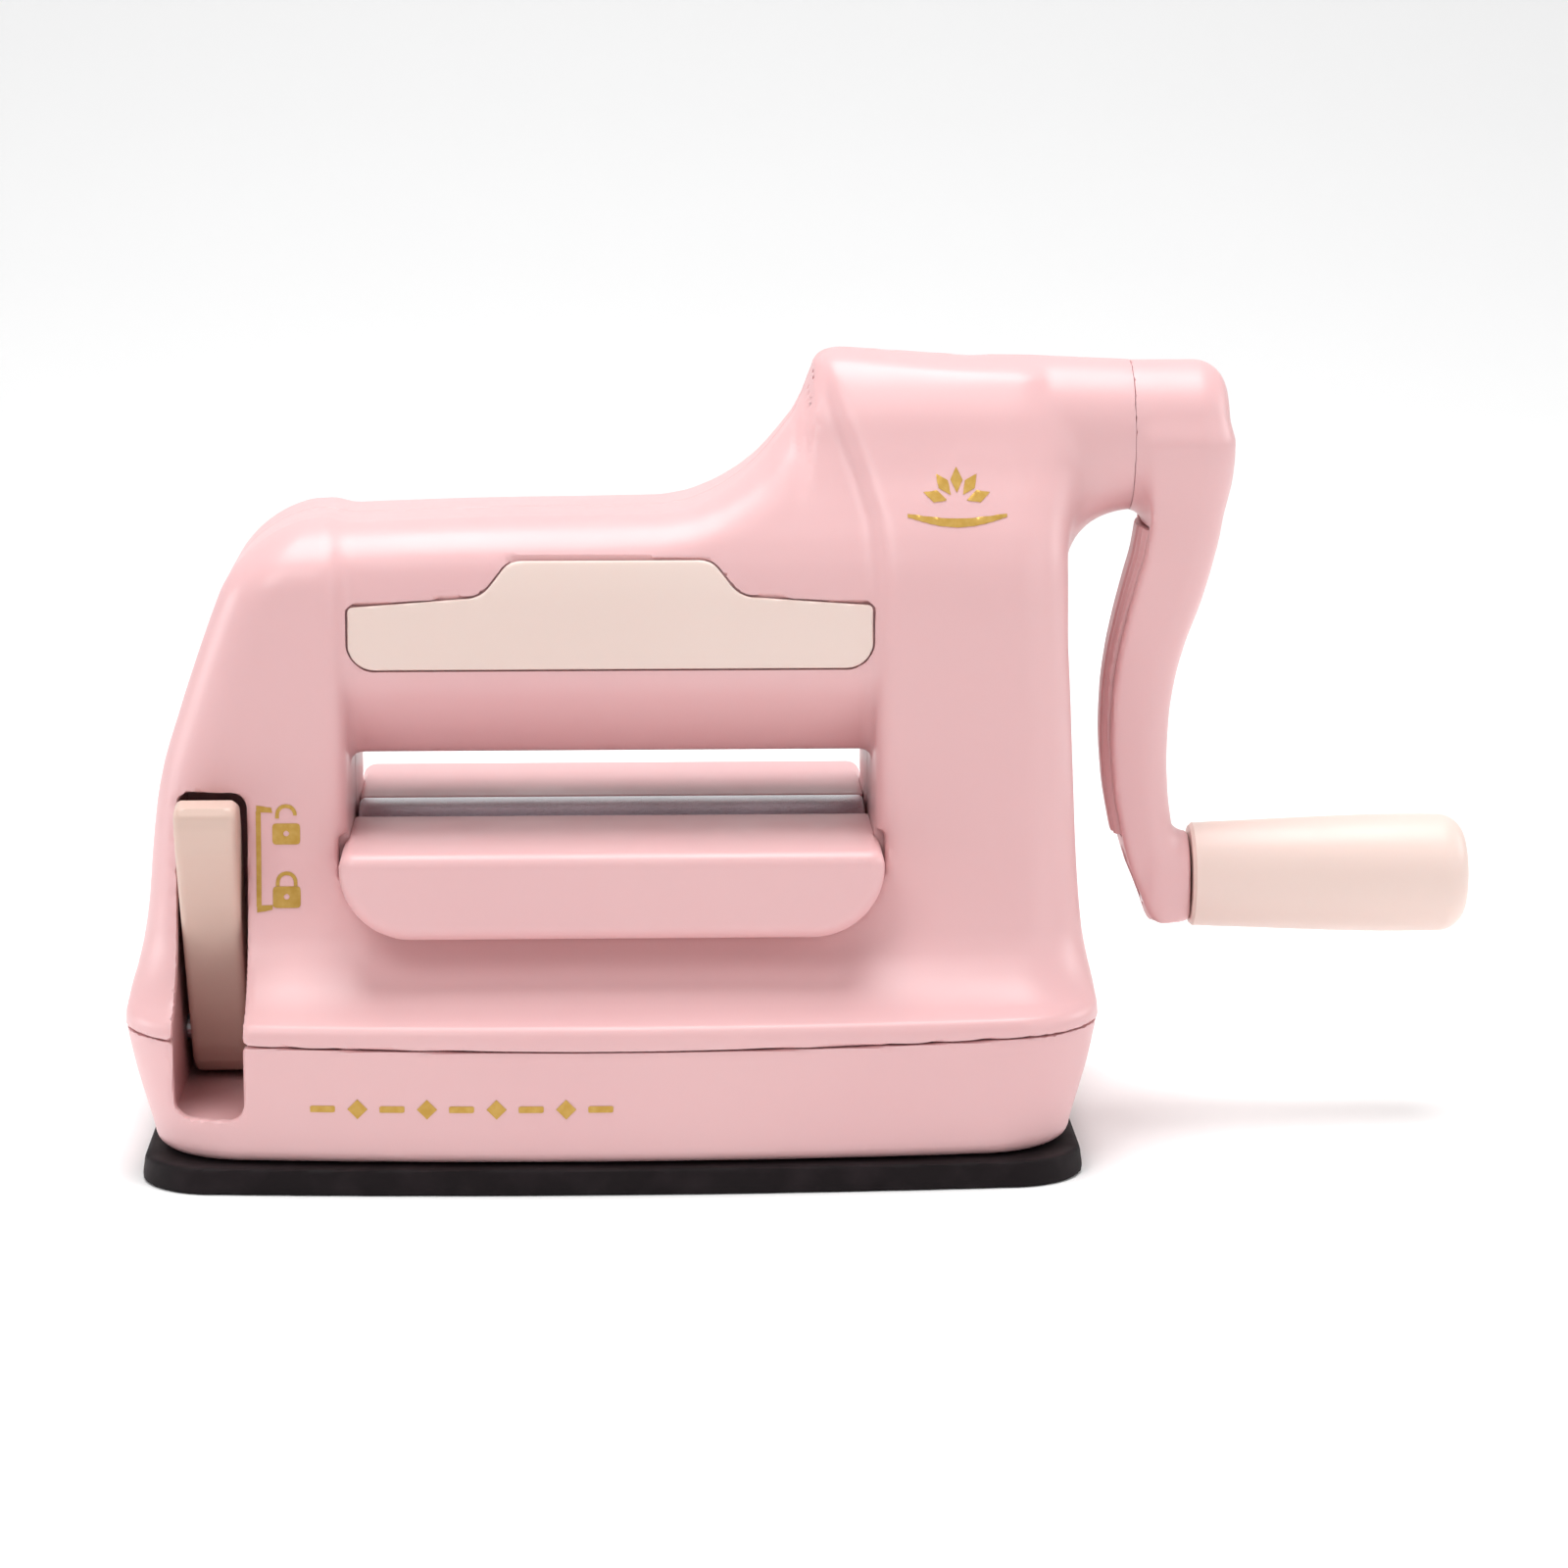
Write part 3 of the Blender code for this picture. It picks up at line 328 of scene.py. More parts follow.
HUB_R = curve((56, 12.4), (66, 12.3), (73, 12.0), (HUB_FACE, 11.65))
HUB_START = 57.0
FOOT_OF_TOWERS = 74
SEAM_SAG = 1.2
VISOR_R, VISOR_LIP_R = 7.0, 1.0
GAP_FILLET, BRIDGE_FILLET = 2.4, 4.2
POCKET_HALF, POCKET_LOW, POCKET_HIGH, POCKET_R, POCKET_BACK = 41.6, 35.9, 50.4, 11.1, 23.9
POCKET_SQUARE_FROM = 44.0


def seam(x):
    """Height of the line where the housing meets the base."""
    return SEAM_Z - 0.7 + SEAM_SAG * (x / FOOT_OF_TOWERS) ** 2


def plan(x, y, z):
    """Distance within one level from the outline of the housing at that level."""
    front = np.abs(y) + BOW(z) * (x / FOOT_OF_TOWERS) ** 2 - DEPTH(z)
    return rounded(np.maximum(LEFT(z) - x, x - RIGHT(z)), front, PLAN_R(z))


def envelope(x, y, z):
    """The housing's outer form before the feed gap and the recess are taken out."""
    lean = (plan(x, y, z + 0.25) - plan(x, y, z - 0.25)) / 0.5
    body = plan(x, y, z) / np.sqrt(1 + lean * lean)
    top = (z - TOP(x)) / steepness(TOP, x)
    shoulder_r = np.clip(9.0 - (x + 5) * 0.17, 3.2, 9.0)
    body = rounded(body, top, shoulder_r)
    pipe = np.maximum(np.hypot(y, z - CRANK_Z) - HUB_R(x), slab(x, HUB_START, HUB_FACE + 6))
    return np.maximum(join(body, pipe, NECK_FILLET(z)), x - HUB_FACE)


def bridge(x, y, z):
    """The bar over the feed gap, with its visor."""
    front = (np.abs(y) - BRIDGE(z)) / steepness(BRIDGE, z)
    top = (z - TOP(x)) / steepness(TOP, x)
    return rounded(rounded(front, top, VISOR_R), SLOT_HIGH - z, VISOR_LIP_R)


def pocket(x, y, z):
    """The room the tray sits in, in front and behind: round below, square above."""
    outline = block2(x, z, POCKET_HALF, POCKET_LOW, POCKET_HIGH, POCKET_R)
    corner = block2(x, z, POCKET_HALF, POCKET_SQUARE_FROM, POCKET_HIGH, 0.6)
    return np.maximum(np.minimum(outline, corner), POCKET_BACK - np.abs(y))


def housing_form(x, y, z):
    """The solid form of the housing."""
    towers = np.minimum(x + GAP_HALF, RECESS_RIGHT(z) - x)
    between = np.minimum(bridge(x, y, z), z - SLOT_LOW)
    form = meet(envelope(x, y, z), join(towers, between, GAP_FILLET), BRIDGE_FILLET)
    return meet(form, -pocket(x, y, z), MOUTH_EDGE)


OPENING_HALF, OPENING_LOW, OPENING_HIGH, OPENING_R = 5.35, 10.5, 57.3, 2.5


def lever_opening(x, z):
    """Outline of the upright opening for the lever."""
    return block2(x - LEVER_X, z, OPENING_HALF, OPENING_LOW, OPENING_HIGH, OPENING_R)


PANEL_HALF, PANEL_LOW, PANEL_R = 39.9, 75.5, 4.2
WING_TOP, WING_START, WING_FALL = 86.3, 21.5, 0.07
TAB_TOP, TAB_HALF, TAB_R = 92.15, 15.2, 1.6


def panel_outline(x, z):
    """Outline of the trim panel: wings, slanted shoulders and a raised tab."""
    plate = block2(x, z, PANEL_HALF, PANEL_LOW, 92.0, PANEL_R)
    side = np.abs(x)
    brow = z - (WING_TOP - (side - WING_START) * WING_FALL)
    shoulder = (side - TAB_HALF) * 0.78 + (z - 92.0) * 0.62
    tab = rounded(shoulder, z - TAB_TOP, TAB_R)
    return rounded(plate, join(brow, tab, TAB_R), 0.8)


def shell(form):
    """The wall of a moulding."""
    return np.maximum(form, -form - WALL)


def screw_place(node):
    """A housing screw's place in x and z, and how far back its head reaches."""
    return middle(node, 0) - MID_X, middle(node, 2), span(node, 1)[1]


SCREWS = [screw_place("housing_screw_%d" % k) for k in (1, 2, 3)]
POST_R, POST_BORE_R = 2.7, 1.5
HEAD_HOLE_R, HEAD_DEPTH, SHANK_HOLE_R = 3.3, 1.4, 1.8
ROLLER_ROOM = 11


def housing_half(x, y, z, front):
    """One half of the housing, the front one with the lever opening and the panel bed."""
    form = shell(housing_form(x, y, z))
    mouth = np.minimum(slab(z, SLOT_HIGH - 4, 67), slab(z, 44, SLOT_LOW + 4))
    mouth = np.maximum(np.maximum(mouth, np.abs(x) - GAP_HALF + 0.1), np.abs(y) - ROLLER_ROOM)
    form = np.maximum(form, -mouth)
    form = meet(form, seam(x) + SEAM_GAP - z, SEAM_EDGE)
    form = meet(form, y + SEAM_GAP, SEAM_EDGE)
    form = np.maximum(form, -np.maximum(np.hypot(y, z - CRANK_Z) - SHAFT_HOLE_R, 72 - x))
    if front:
        hole = np.maximum(lever_opening(x, z), y + 12)
        form = meet(form, -hole, MOUTH_EDGE)
        bed = np.maximum(panel_outline(x, z) - 0.3, BRIDGE(z) - 1.25 - np.abs(y))
        form = np.maximum(form, -bed)
    for sx, sz, wall in SCREWS:
        around = np.hypot(x - sx, z - sz)
        if front:
            post = np.maximum(around - POST_R, slab(y, -wall + 3.5, -SEAM_GAP))
            form = np.minimum(form, post)
            form = np.maximum(form, -np.maximum(around - POST_BORE_R, -y - wall + 6))
        else:
            form = meet(form, -np.maximum(around - HEAD_HOLE_R, wall - HEAD_DEPTH + y), 0.5)
            form = np.maximum(form, -np.maximum(around - SHANK_HOLE_R, y + wall - 9.0))
    return form


def mirrored(obj):
    """Swap front and back of a mesh."""
    for v in obj.data.vertices:
        v.co.y = -v.co.y
    obj.data.flip_normals()
    return obj


def build_housing(pink):
    """Both halves of the housing."""
    low, high = (-76.5, -50.0, SEAM_Z - 2.5), (HUB_FACE + 2, 1.5, 125.5)
    front = moulded("housing_front_skin", lambda x, y, z: housing_half(x, y, z, True), low, high, COARSE)
    dress(front, "pink_plastic", "machine", pink, "front_housing")
    rear = moulded("housing_rear_skin", lambda x, y, z: housing_half(x, y, z, False), low, high, COARSE)
    dress(mirrored(rear), "pink_plastic", "machine", pink, "rear_housing")


# ---------------------------------------------------------------- base, foot, trays, panel

BASE_SIDE = curve((BASE_Z, 69.3), (8, 70.2), (12, 71.4), (17, 72.8), (24, 74.3))
BASE_DEPTH, BASE_BOW, BASE_CORNER_R, BASE_EDGE_R = 48.2, 5.0, 13.0, 1.8
BELL_R, BELL_TOP, CUP_R, CUP_TOP, STEM_HOLE_R = 42.3, 8.2, 40.0, 6.8, 3.6
PAD_HOLE_R = 40.3


def base_form(x, y, z):
    """The solid form of the base tub."""
    side = (np.abs(x) - BASE_SIDE(z)) * 0.97
    front = np.abs(y) + BASE_BOW * (x / FOOT_OF_TOWERS) ** 2 - BASE_DEPTH + 0.03 * (z - BASE_Z)
    return rounded(rounded(side, front, BASE_CORNER_R), BASE_Z - z, BASE_EDGE_R)


def base_tub(x, y, z):
    """The base with its floor, bell, stem hole and lever opening."""
    form = shell(base_form(x, y, z))
    centre = np.hypot(x, y)
    form = np.minimum(form, rounded(centre - BELL_R, slab(z, BASE_Z + 0.1, BELL_TOP), 0.6))
    form = np.maximum(form, -np.maximum(centre - CUP_R, z - CUP_TOP))
    form = np.maximum(form, STEM_HOLE_R - centre)
    form = meet(form, z - seam(x) + SEAM_GAP, SEAM_EDGE)
    hole = np.maximum(lever_opening(x, z), y + 30)
    return meet(form, -hole, MOUTH_EDGE)


def foot_plate(x, y, z):
    """The rubber foot with the round opening of the pad."""
    side = np.abs(x) - FOOT_HALF
    front = np.abs(y) + 3.2 * (x / 71) ** 2 - FOOT_DEPTH
    edge = rounded(side, front, 10.5)
    form = rounded(edge + np.maximum(z - 1.2, 0) * 0.14, slab(z, 0.0, FOOT_TOP), 0.7)
    return rounded(form, PAD_HOLE_R - np.hypot(x, y), 0.4)


TRAY_R, TRAY_BACK, SILL_THICK, SILL_END = 10.8, 24.3, 1.15, 8.2


def tray_form(x, y, z):
    """The front tray: deep rounded apron and a flat sill that runs to the roller."""
    outline = block2(x, z, TRAY_HALF - 0.3, TRAY_BOTTOM, TRAY_TOP + 20, TRAY_R)
    apron = rounded(outline, -y - TRAY_REACH, 2.4)
    apron = rounded(apron, z - TRAY_TOP, 2.2)
    apron = np.maximum(apron, y + TRAY_BACK)
    hollow = block2(x, z, TRAY_HALF - 2, TRAY_BOTTOM + 2, TRAY_TOP - 1.3, TRAY_R - 2)
    hollow = np.maximum(hollow, -y - TRAY_REACH + 1.8)
    sill = rounded(np.abs(x) - GAP_HALF + 0.3, slab(z, TRAY_TOP - SILL_THICK, TRAY_TOP), 0.4)
    sill = rounded(sill, slab(y, -30.0, -SILL_END), 0.4)
    return np.minimum(np.maximum(apron, -hollow), sill)


def panel_form(x, y, z):
    """The trim panel, bent to the bridge."""
    return rounded(panel_outline(x, z), np.maximum(-y - BRIDGE(z), BRIDGE(z) - 1.0 + y), 0.3)


WELL_HALF, WELL_LOW, WELL_HIGH = 7.0, 8.3, 60.2
ROOM_HALF, ROOM_LOW, ROOM_HIGH = 5.8, 9.5, 58.9
WELL_SHAFT_R, LEVER_SHAFT_R = 2.4, 2.3


def well_form(x, y, z):
    """The trough behind the lever opening."""
    side = np.abs(x - LEVER_X)
    box = np.maximum(np.maximum(side - WELL_HALF, slab(z, WELL_LOW, WELL_HIGH)), y + 0.3)
    room = np.maximum(np.maximum(side - ROOM_HALF, slab(z, ROOM_LOW, ROOM_HIGH)), y + 1.5)
    inner = np.where(z > SEAM_Z, housing_form(x, y, z), base_form(x, y, z)) + WALL + 0.15
    form = np.maximum(np.maximum(box, -room), inner)
    return np.maximum(form, WELL_SHAFT_R - np.hypot(y - LEVER_Y, z - LEVER_Z))


def build_shells(pink, cream, rubber):
    """Base, foot, trays, panel and lever trough."""
    base = moulded("base_skin", base_tub, (-76, -50, 2.5), (76, 50, 25.5), COARSE)
    dress(base, "pink_plastic", "machine", pink, "base_shell")
    foot = moulded("foot_skin", foot_plate, (-73, -52, -1), (73, 52, 5.5), MEDIUM)
    dress(foot, "black_rubber", "machine", rubber, "suction_foot")
    for name, node in (("tray_front_skin", "front_tray"), ("tray_rear_skin", "rear_tray")):
        tray = moulded(name, tray_form, (-43, -42, 35), (43, -6, 52), MEDIUM)
        if node == "rear_tray":
            mirrored(tray)
        dress(tray, "pink_plastic", "machine", pink, node)
    panel = moulded("trim_panel_skin", panel_form, (-41, -26, 74), (41, -20, 94), MEDIUM * 0.7)
    dress(panel, "cream_plastic", "machine", cream, "front_trim_panel")
    well = moulded("lever_well_skin", well_form, (LEVER_X - 8, -48, 7), (LEVER_X + 8, 1, 62), MEDIUM)
    dress(well, "pink_plastic", "machine", pink, "lever_well")


# ---------------------------------------------------------------- lever

LEVER_SIDE = [
    (-33.6, 57.4), (-37.5, 56.9), (-38.4, 55.6), (-38.2, 53.6), (-36.8, 49.8), (-30.5, 38.4),
    (-23.6, 26.2), (-18.0, 15.6), (-16.0, 12.8), (-13.0, 10.7), (-9.8, 10.1), (-6.4, 11.1),
    (-3.9, 13.8), (-3.2, 17.0), (-4.2, 20.6), (-9.0, 26.4), (-16.5, 36.8), (-23.5, 48.6), (-28.3, 56.0),
]


def lever_form(x, y, z):
    """The lever: straight sides that taper a little, soft edges."""
    side = polygon2(y, z, LEVER_SIDE)
    taper = np.abs(x - LEVER_X + 0.25) - LEVER_HALF + 0.2 + 0.008 * np.maximum(52 - z, 0)
    form = rounded(side, taper, 1.1)
    return np.maximum(form, LEVER_SHAFT_R - np.hypot(y - LEVER_Y, z - LEVER_Z))


def build_lever(lever_painted_shade_cream):
    """The suction lever, in a darker copy of the cream that is painted shade, as if the lever sat in the
    shadow of its slot.
    """
    low, high = (LEVER_X - 6, -40, 9), (LEVER_X + 6, -2, 60)
    obj = moulded("lever_skin", lever_form, low, high, MEDIUM)
    dress(obj, "cream_plastic", "lever", lever_painted_shade_cream, "suction_lever")


# ---------------------------------------------------------------- crank

ARM_LEFT = curve(
    (31, 83.9), (33, 82.8), (36, 81.3), (41, 79.3), (48, 77.6), (55, 76.5), (62, 76.1), (68, 76.3),
    (74, 77.0), (80, 78.2), (86, 79.7), (91, 81.0), (96, 81.6), (110, 81.6),
)
ARM_RIGHT = curve(
    (31, 88.8), (38, 88.2), (43, 87.2), (48, 86.1), (53, 85.5), (58, 85.3), (64, 85.5), (70, 86.3),
    (76, 87.8), (82, 89.9), (88, 91.6), (94, 92.9), (100, 93.6), (110, 93.8),
)
ARM_HALF = curve(
    (31, 6.6), (40, 7.2), (50, 7.4), (60, 7.8), (70, 8.3), (80, 9.2), (90, 10.2), (100, 11.0), (110, 11.4),
)
ARM_TIP = 31.4
DISC_R, DISC_EDGE_R = 11.6, 5.2
BOSS_R, BOSS_INNER, BOSS_OUTER = 6.9, 83.0, 89.0
HOLLOW_LOW, HOLLOW_HIGH = 45.2, 94.6
CRANK_BORE_R, CAP_BORE_R = 4.3, 5.0
SPINDLE_R, CLIP_R = 2.8, 4.8
GROOVES = (2.6, 5.0)


def arm_strip(x, z):
    """Distances past the inner and the outer side of the arm."""
    left = (ARM_LEFT(z) - x) / steepness(ARM_LEFT, z)
    right = (x - ARM_RIGHT(z)) / steepness(ARM_RIGHT, z)
    return left, right


def arm_form(x, y, z):
    """Crank arm: round hub, S-shaped hollow arm, boss for the grip."""
    x = x - CRANK_OUT
    left, right = arm_strip(x, z)
    depth = np.abs(y) - ARM_HALF(z)
    strip = rounded(right, depth, 4.6)
    strip = rounded(strip, left, 1.0)
    strip = rounded(strip, slab(z, ARM_TIP, CRANK_Z), 1.0)
    reach = np.hypot(y, z - CRANK_Z)
    disc = rounded(rounded(reach - DISC_R, x - HUB_OUTER, DISC_EDGE_R), HUB_INNER - x, 0.3)
    boss_reach = np.hypot(y, z - GRIP_Z)
    boss = rounded(boss_reach - BOSS_R, slab(x, BOSS_INNER, BOSS_OUTER), 0.5)
    form = join(join(strip, disc, 4.0), boss, 2.4)
    form = np.maximum(form, HUB_INNER - x - np.maximum(92 - z, 0) * 5)
    hollow = np.maximum(np.maximum(right, depth) + WALL, slab(z, HOLLOW_LOW, HOLLOW_HIGH))
    form = np.maximum(form, -rounded(hollow, ARM_LEFT(z) - 8 - x, 0.5))
    form = np.maximum(form, -np.maximum(reach - CRANK_BORE_R, x - CAP_SEAT))
    form = meet(form, -np.maximum(reach - CAP_BORE_R, CAP_SEAT - x), 0.4)
    form = np.maximum(form, SPINDLE_R - boss_reach)
    return np.maximum(form, -np.maximum(boss_reach - CLIP_R, x - BOSS_INNER - 0.6))


def arm_cover_form(x, y, z):
    """The crowned cover in the arm's open back, with lengthwise grooves."""
    x = x - CRANK_OUT
    side = np.abs(y)
    crown = 1.3 * (1 - (y / 9.0) ** 2)
    for place in GROOVES:
        crown = crown - 0.45 * np.exp(-(((side - place) / 0.5) ** 2))
    left = (ARM_LEFT(z) - crown - x) / steepness(ARM_LEFT, z)
    right = (x - ARM_LEFT(z) - 1.2) / steepness(ARM_LEFT, z)
    form = rounded(np.maximum(left, right), side - ARM_HALF(z) + 2.5, 0.4)
    return np.maximum(form, slab(z, HOLLOW_LOW + 0.4, HOLLOW_HIGH - 0.4))


def build_crank(pink, cream):
    """Arm, cover, cap and grip."""
    arm = moulded("crank_arm_skin", arm_form, (ARM_END - 19, -13, 30), (ARM_END + 1.2, 13, 121.5), MEDIUM)
    dress(arm, "pink_plastic", "crank", pink, "crank_arm")
    cover = moulded("crank_cover_skin", arm_cover_form, (ARM_END - 21, -9, 44), (ARM_END - 9.5, 9, 96), FINE)
    dress(cover, "pink_plastic", "crank", pink, "crank_arm_cover")
    rim = ARM_END - 0.6
    cap = [(rim - 1.2, 0), (rim - 1.2, 4.7)] + arc(rim, 4.1, 0.6, 90, 0, 4) + [(ARM_END, 0)]
    dress(turned("crank_cap_skin", cap, 0, CRANK_Z), "pink_plastic", "crank", pink, "crank_cap")
    round_start = GRIP_END - 4.3
    long = round_start - GRIP_START
    swell = curve((0.0, 8.15), (long * 0.27, 8.6), (long * 0.57, 9.1), (long * 0.82, 9.35), (long, 9.3))
    outer = [(GRIP_START + t, float(swell(t))) for t in np.linspace(0.5, long, 14)]
    end = arc(round_start, 5.0, 4.3, 90, 0, 10)
    rows = [(GRIP_START, 2.8), (GRIP_START, 7.7)] + outer + end[1:] + [(GRIP_END, 0)]
    rows += [(GRIP_END - 3.8, 0), (GRIP_END - 3.8, 4.6), (GRIP_END - 6.3, 4.6), (GRIP_END - 6.3, 2.8)]
    dress(turned("grip_skin", rows, 0, GRIP_Z), "cream_plastic", "grip", cream, "grip")


# ---------------------------------------------------------------- rollers

ROLLER_EDGE_R, ROLLER_BORE_R = 0.8, 4.3


def build_rollers(steel):
    """Ground steel rollers with rounded ends."""
    edge_x, edge_r = ROLLER_HALF - ROLLER_EDGE_R, ROLLER_R - ROLLER_EDGE_R
    for name, z in (("lower_roller", LOWER_Z), ("upper_roller", UPPER_Z)):
        rows = [(-ROLLER_HALF, ROLLER_BORE_R), (-ROLLER_HALF, edge_r)]
        rows += arc(-edge_x, edge_r, ROLLER_EDGE_R, 180, 90, 5)
        rows += arc(edge_x, edge_r, ROLLER_EDGE_R, 90, 0, 5) + [(ROLLER_HALF, ROLLER_BORE_R)]
        dress(turned(name + "_skin", rows, 0, z, 128), "steel", name, steel, name)


# ---------------------------------------------------------------- print


def front_of(shape, x, z, near, far):
    """Where a line along y first meets a shape, for many x and z."""
    a, b = np.full(x.shape, near), np.full(x.shape, far)
    for _ in range(30):
        mid = (a + b) / 2
        inside = shape(x, mid, z) < 0
        b = np.where(inside, mid, b)
        a = np.where(inside, a, mid)
    return a


INK_THICK = 0.05


def printed(name, outlines, shape, near, far, gold, step=0.35):
    """Flat ink on a shape: outlines are closed, and one inside another is a hole."""
    low = np.min([np.min(o, axis=0) for o in outlines], axis=0) - 2 * step
    high = np.max([np.max(o, axis=0) for o in outlines], axis=0) + 2 * step

    def ink(x, y, z):
        """The outlines as a thin slab."""
        field = polygon2(x, z, outlines[0])
        for hole in outlines[1:]:
            field = np.maximum(field, -polygon2(x, z, hole))
        return np.maximum(field, np.abs(y) - step * 0.8)

    points, faces = skin(ink, (low[0], -step * 2.5, low[1]), (high[0], step * 2.5, high[1]), step)
    place = front_of(shape, points[:, 0], points[:, 2], near, far)
    points[:, 1] = place - INK_THICK + points[:, 1] / step * INK_THICK
    obj = piece(name, points, faces)
    return dress(obj, "brass", "machine", gold)


def ring(cx, cz, r, start=0, end=360, steps=24):
    """Points round a circle in x and z."""
    turns = [math.radians(start + (end - start) * k / steps) for k in range(steps + (end - start < 360))]
    return [(cx + r * math.cos(t), cz + r * math.sin(t)) for t in turns]


def bar(x0, z0, x1, z1, width):
    """A straight stroke."""
    length = math.hypot(x1 - x0, z1 - z0)
    nx, nz = -(z1 - z0) / length * width / 2, (x1 - x0) / length * width / 2
    return [(x0 + nx, z0 + nz), (x0 - nx, z0 - nz), (x1 - nx, z1 - nz), (x1 + nx, z1 + nz)]


BOW_OUT_R, BOW_IN_R, LEG_END = 1.65, 1.05, 0.35


def padlock(name, cx, cz, lift, gold):
    """A small padlock symbol, its bow lifted when open."""
    body = block_outline(cx, cz - 1.3, 2.1, 1.6, 0.5)
    keyhole = ring(cx, cz - 1.25, 0.42, steps=12)
    printed(name + "_body", [body, keyhole], housing_form, -50, -15, gold, 0.2)
    outer = ring(cx, cz + 0.9 + lift, BOW_OUT_R, 0, 180, 14)
    inner = ring(cx, cz + 0.9 + lift, BOW_IN_R, 180, 0, 14)
    long, short = cz + LEG_END + lift, cz + LEG_END + lift * 1.6
    left = [(cx - BOW_OUT_R, long), (cx - BOW_IN_R, long)]
    right = [(cx + BOW_IN_R, short), (cx + BOW_OUT_R, short)]
    printed(name + "_bow", [outer + left + inner + right], housing_form, -50, -15, gold, 0.2)


def block_outline(cx, cz, half_x, half_z, r):
    """A rectangle with rounded corners in x and z."""
    points = []
    for sx, sz, start in ((1, 1, 0), (-1, 1, 90), (-1, -1, 180), (1, -1, 270)):
        points += ring(cx + sx * (half_x - r), cz + sz * (half_z - r), r, start, start + 90, 4)
    return points


LOCK_X, OPEN_Z, CLOSED_Z, OPEN_LIFT = -49.4, 52.4, 42.9, 0.7
BRACKET_X, BRACKET_LOW, BRACKET_HIGH, BRACKET_WIDE = -53.6, 40.2, 54.6, 0.75
EMBLEM_X, EMBLEM_Z = 52.8, 101.6
LEAVES, LEAF_TIP, LEAF_ROOT, LEAF_HALF, LEAF_TURN = 5, 5.4, 1.5, 0.95, 36
SWEEP_WIDE, SWEEP_SAG = 15.2, 1.5
MARKS, MARK_START, MARK_STEP, MARK_Z, DIAMOND_HALF = 9, -43.5, 5.2, 12.7, 1.5


def print_locks(gold):
    """The open and the closed padlock with the bracket beside them."""
    padlock("print_open", LOCK_X, OPEN_Z, OPEN_LIFT, gold)
    padlock("print_closed", LOCK_X, CLOSED_Z, 0.0, gold)
    line = bar(BRACKET_X, BRACKET_LOW, BRACKET_X, BRACKET_HIGH, BRACKET_WIDE)
    printed("print_bracket_line", [line], housing_form, -50, -15, gold, 0.25)
    near, far = BRACKET_X - 0.3, BRACKET_X + 2.0
    for name, z, way in (("top", BRACKET_HIGH + 0.3, 1), ("bottom", BRACKET_LOW - 0.3, -1)):
        head = [(near, z - way * 0.5), (near, z + way * 0.6)]
        head += [(far, z + way * 0.2), (far + 0.2, z - way * 0.6)]
        printed("print_bracket_" + name, [head], housing_form, -50, -15, gold, 0.25)


def print_emblem(gold):
    """Five leaves over a curved stroke."""
    root_z = EMBLEM_Z - LEAF_ROOT
    for k in range(LEAVES):
        angle = math.radians(90 + LEAF_TURN * (k - 2))
        tip = (EMBLEM_X + LEAF_TIP * math.cos(angle), root_z + LEAF_TIP * math.sin(angle))
        root = (EMBLEM_X + LEAF_ROOT * math.cos(angle), root_z + LEAF_ROOT * math.sin(angle))
        wide = (math.sin(angle) * LEAF_HALF, -math.cos(angle) * LEAF_HALF)
        mid = ((tip[0] + root[0]) / 2, (tip[1] + root[1]) / 2)
        leaf = [root, (mid[0] + wide[0], mid[1] + wide[1]), tip, (mid[0] - wide[0], mid[1] - wide[1])]
        printed("print_leaf_%d" % (k + 1), [leaf], housing_form, -50, -5, gold, 0.25)
    lower, upper = [], []
    for t in np.linspace(0, 1, 13):
        x, arch = EMBLEM_X + SWEEP_WIDE * (t - 0.5), math.sin(math.pi * t)
        z = EMBLEM_Z - 3.4 - SWEEP_SAG * arch
        lower.append((x, z))
        upper.append((x, z + 0.55 + 0.8 * arch))
    printed("print_sweep", [lower + upper[::-1]], housing_form, -50, -5, gold, 0.3)


def print_ornament(gold):
    """A row of dashes and diamonds on the base."""
    for k in range(MARKS):
        x, half = MARK_START + MARK_STEP * k, DIAMOND_HALF
        if k % 2:
            mark = [(x - half, MARK_Z), (x, MARK_Z + half), (x + half, MARK_Z), (x, MARK_Z - half)]
        else:
            mark = block_outline(x, MARK_Z, 1.9, 0.5, 0.3)
        printed("print_mark_%d" % (k + 1), [mark], base_form, -50.5, -40, gold, 0.3)


# ---------------------------------------------------------------- materials


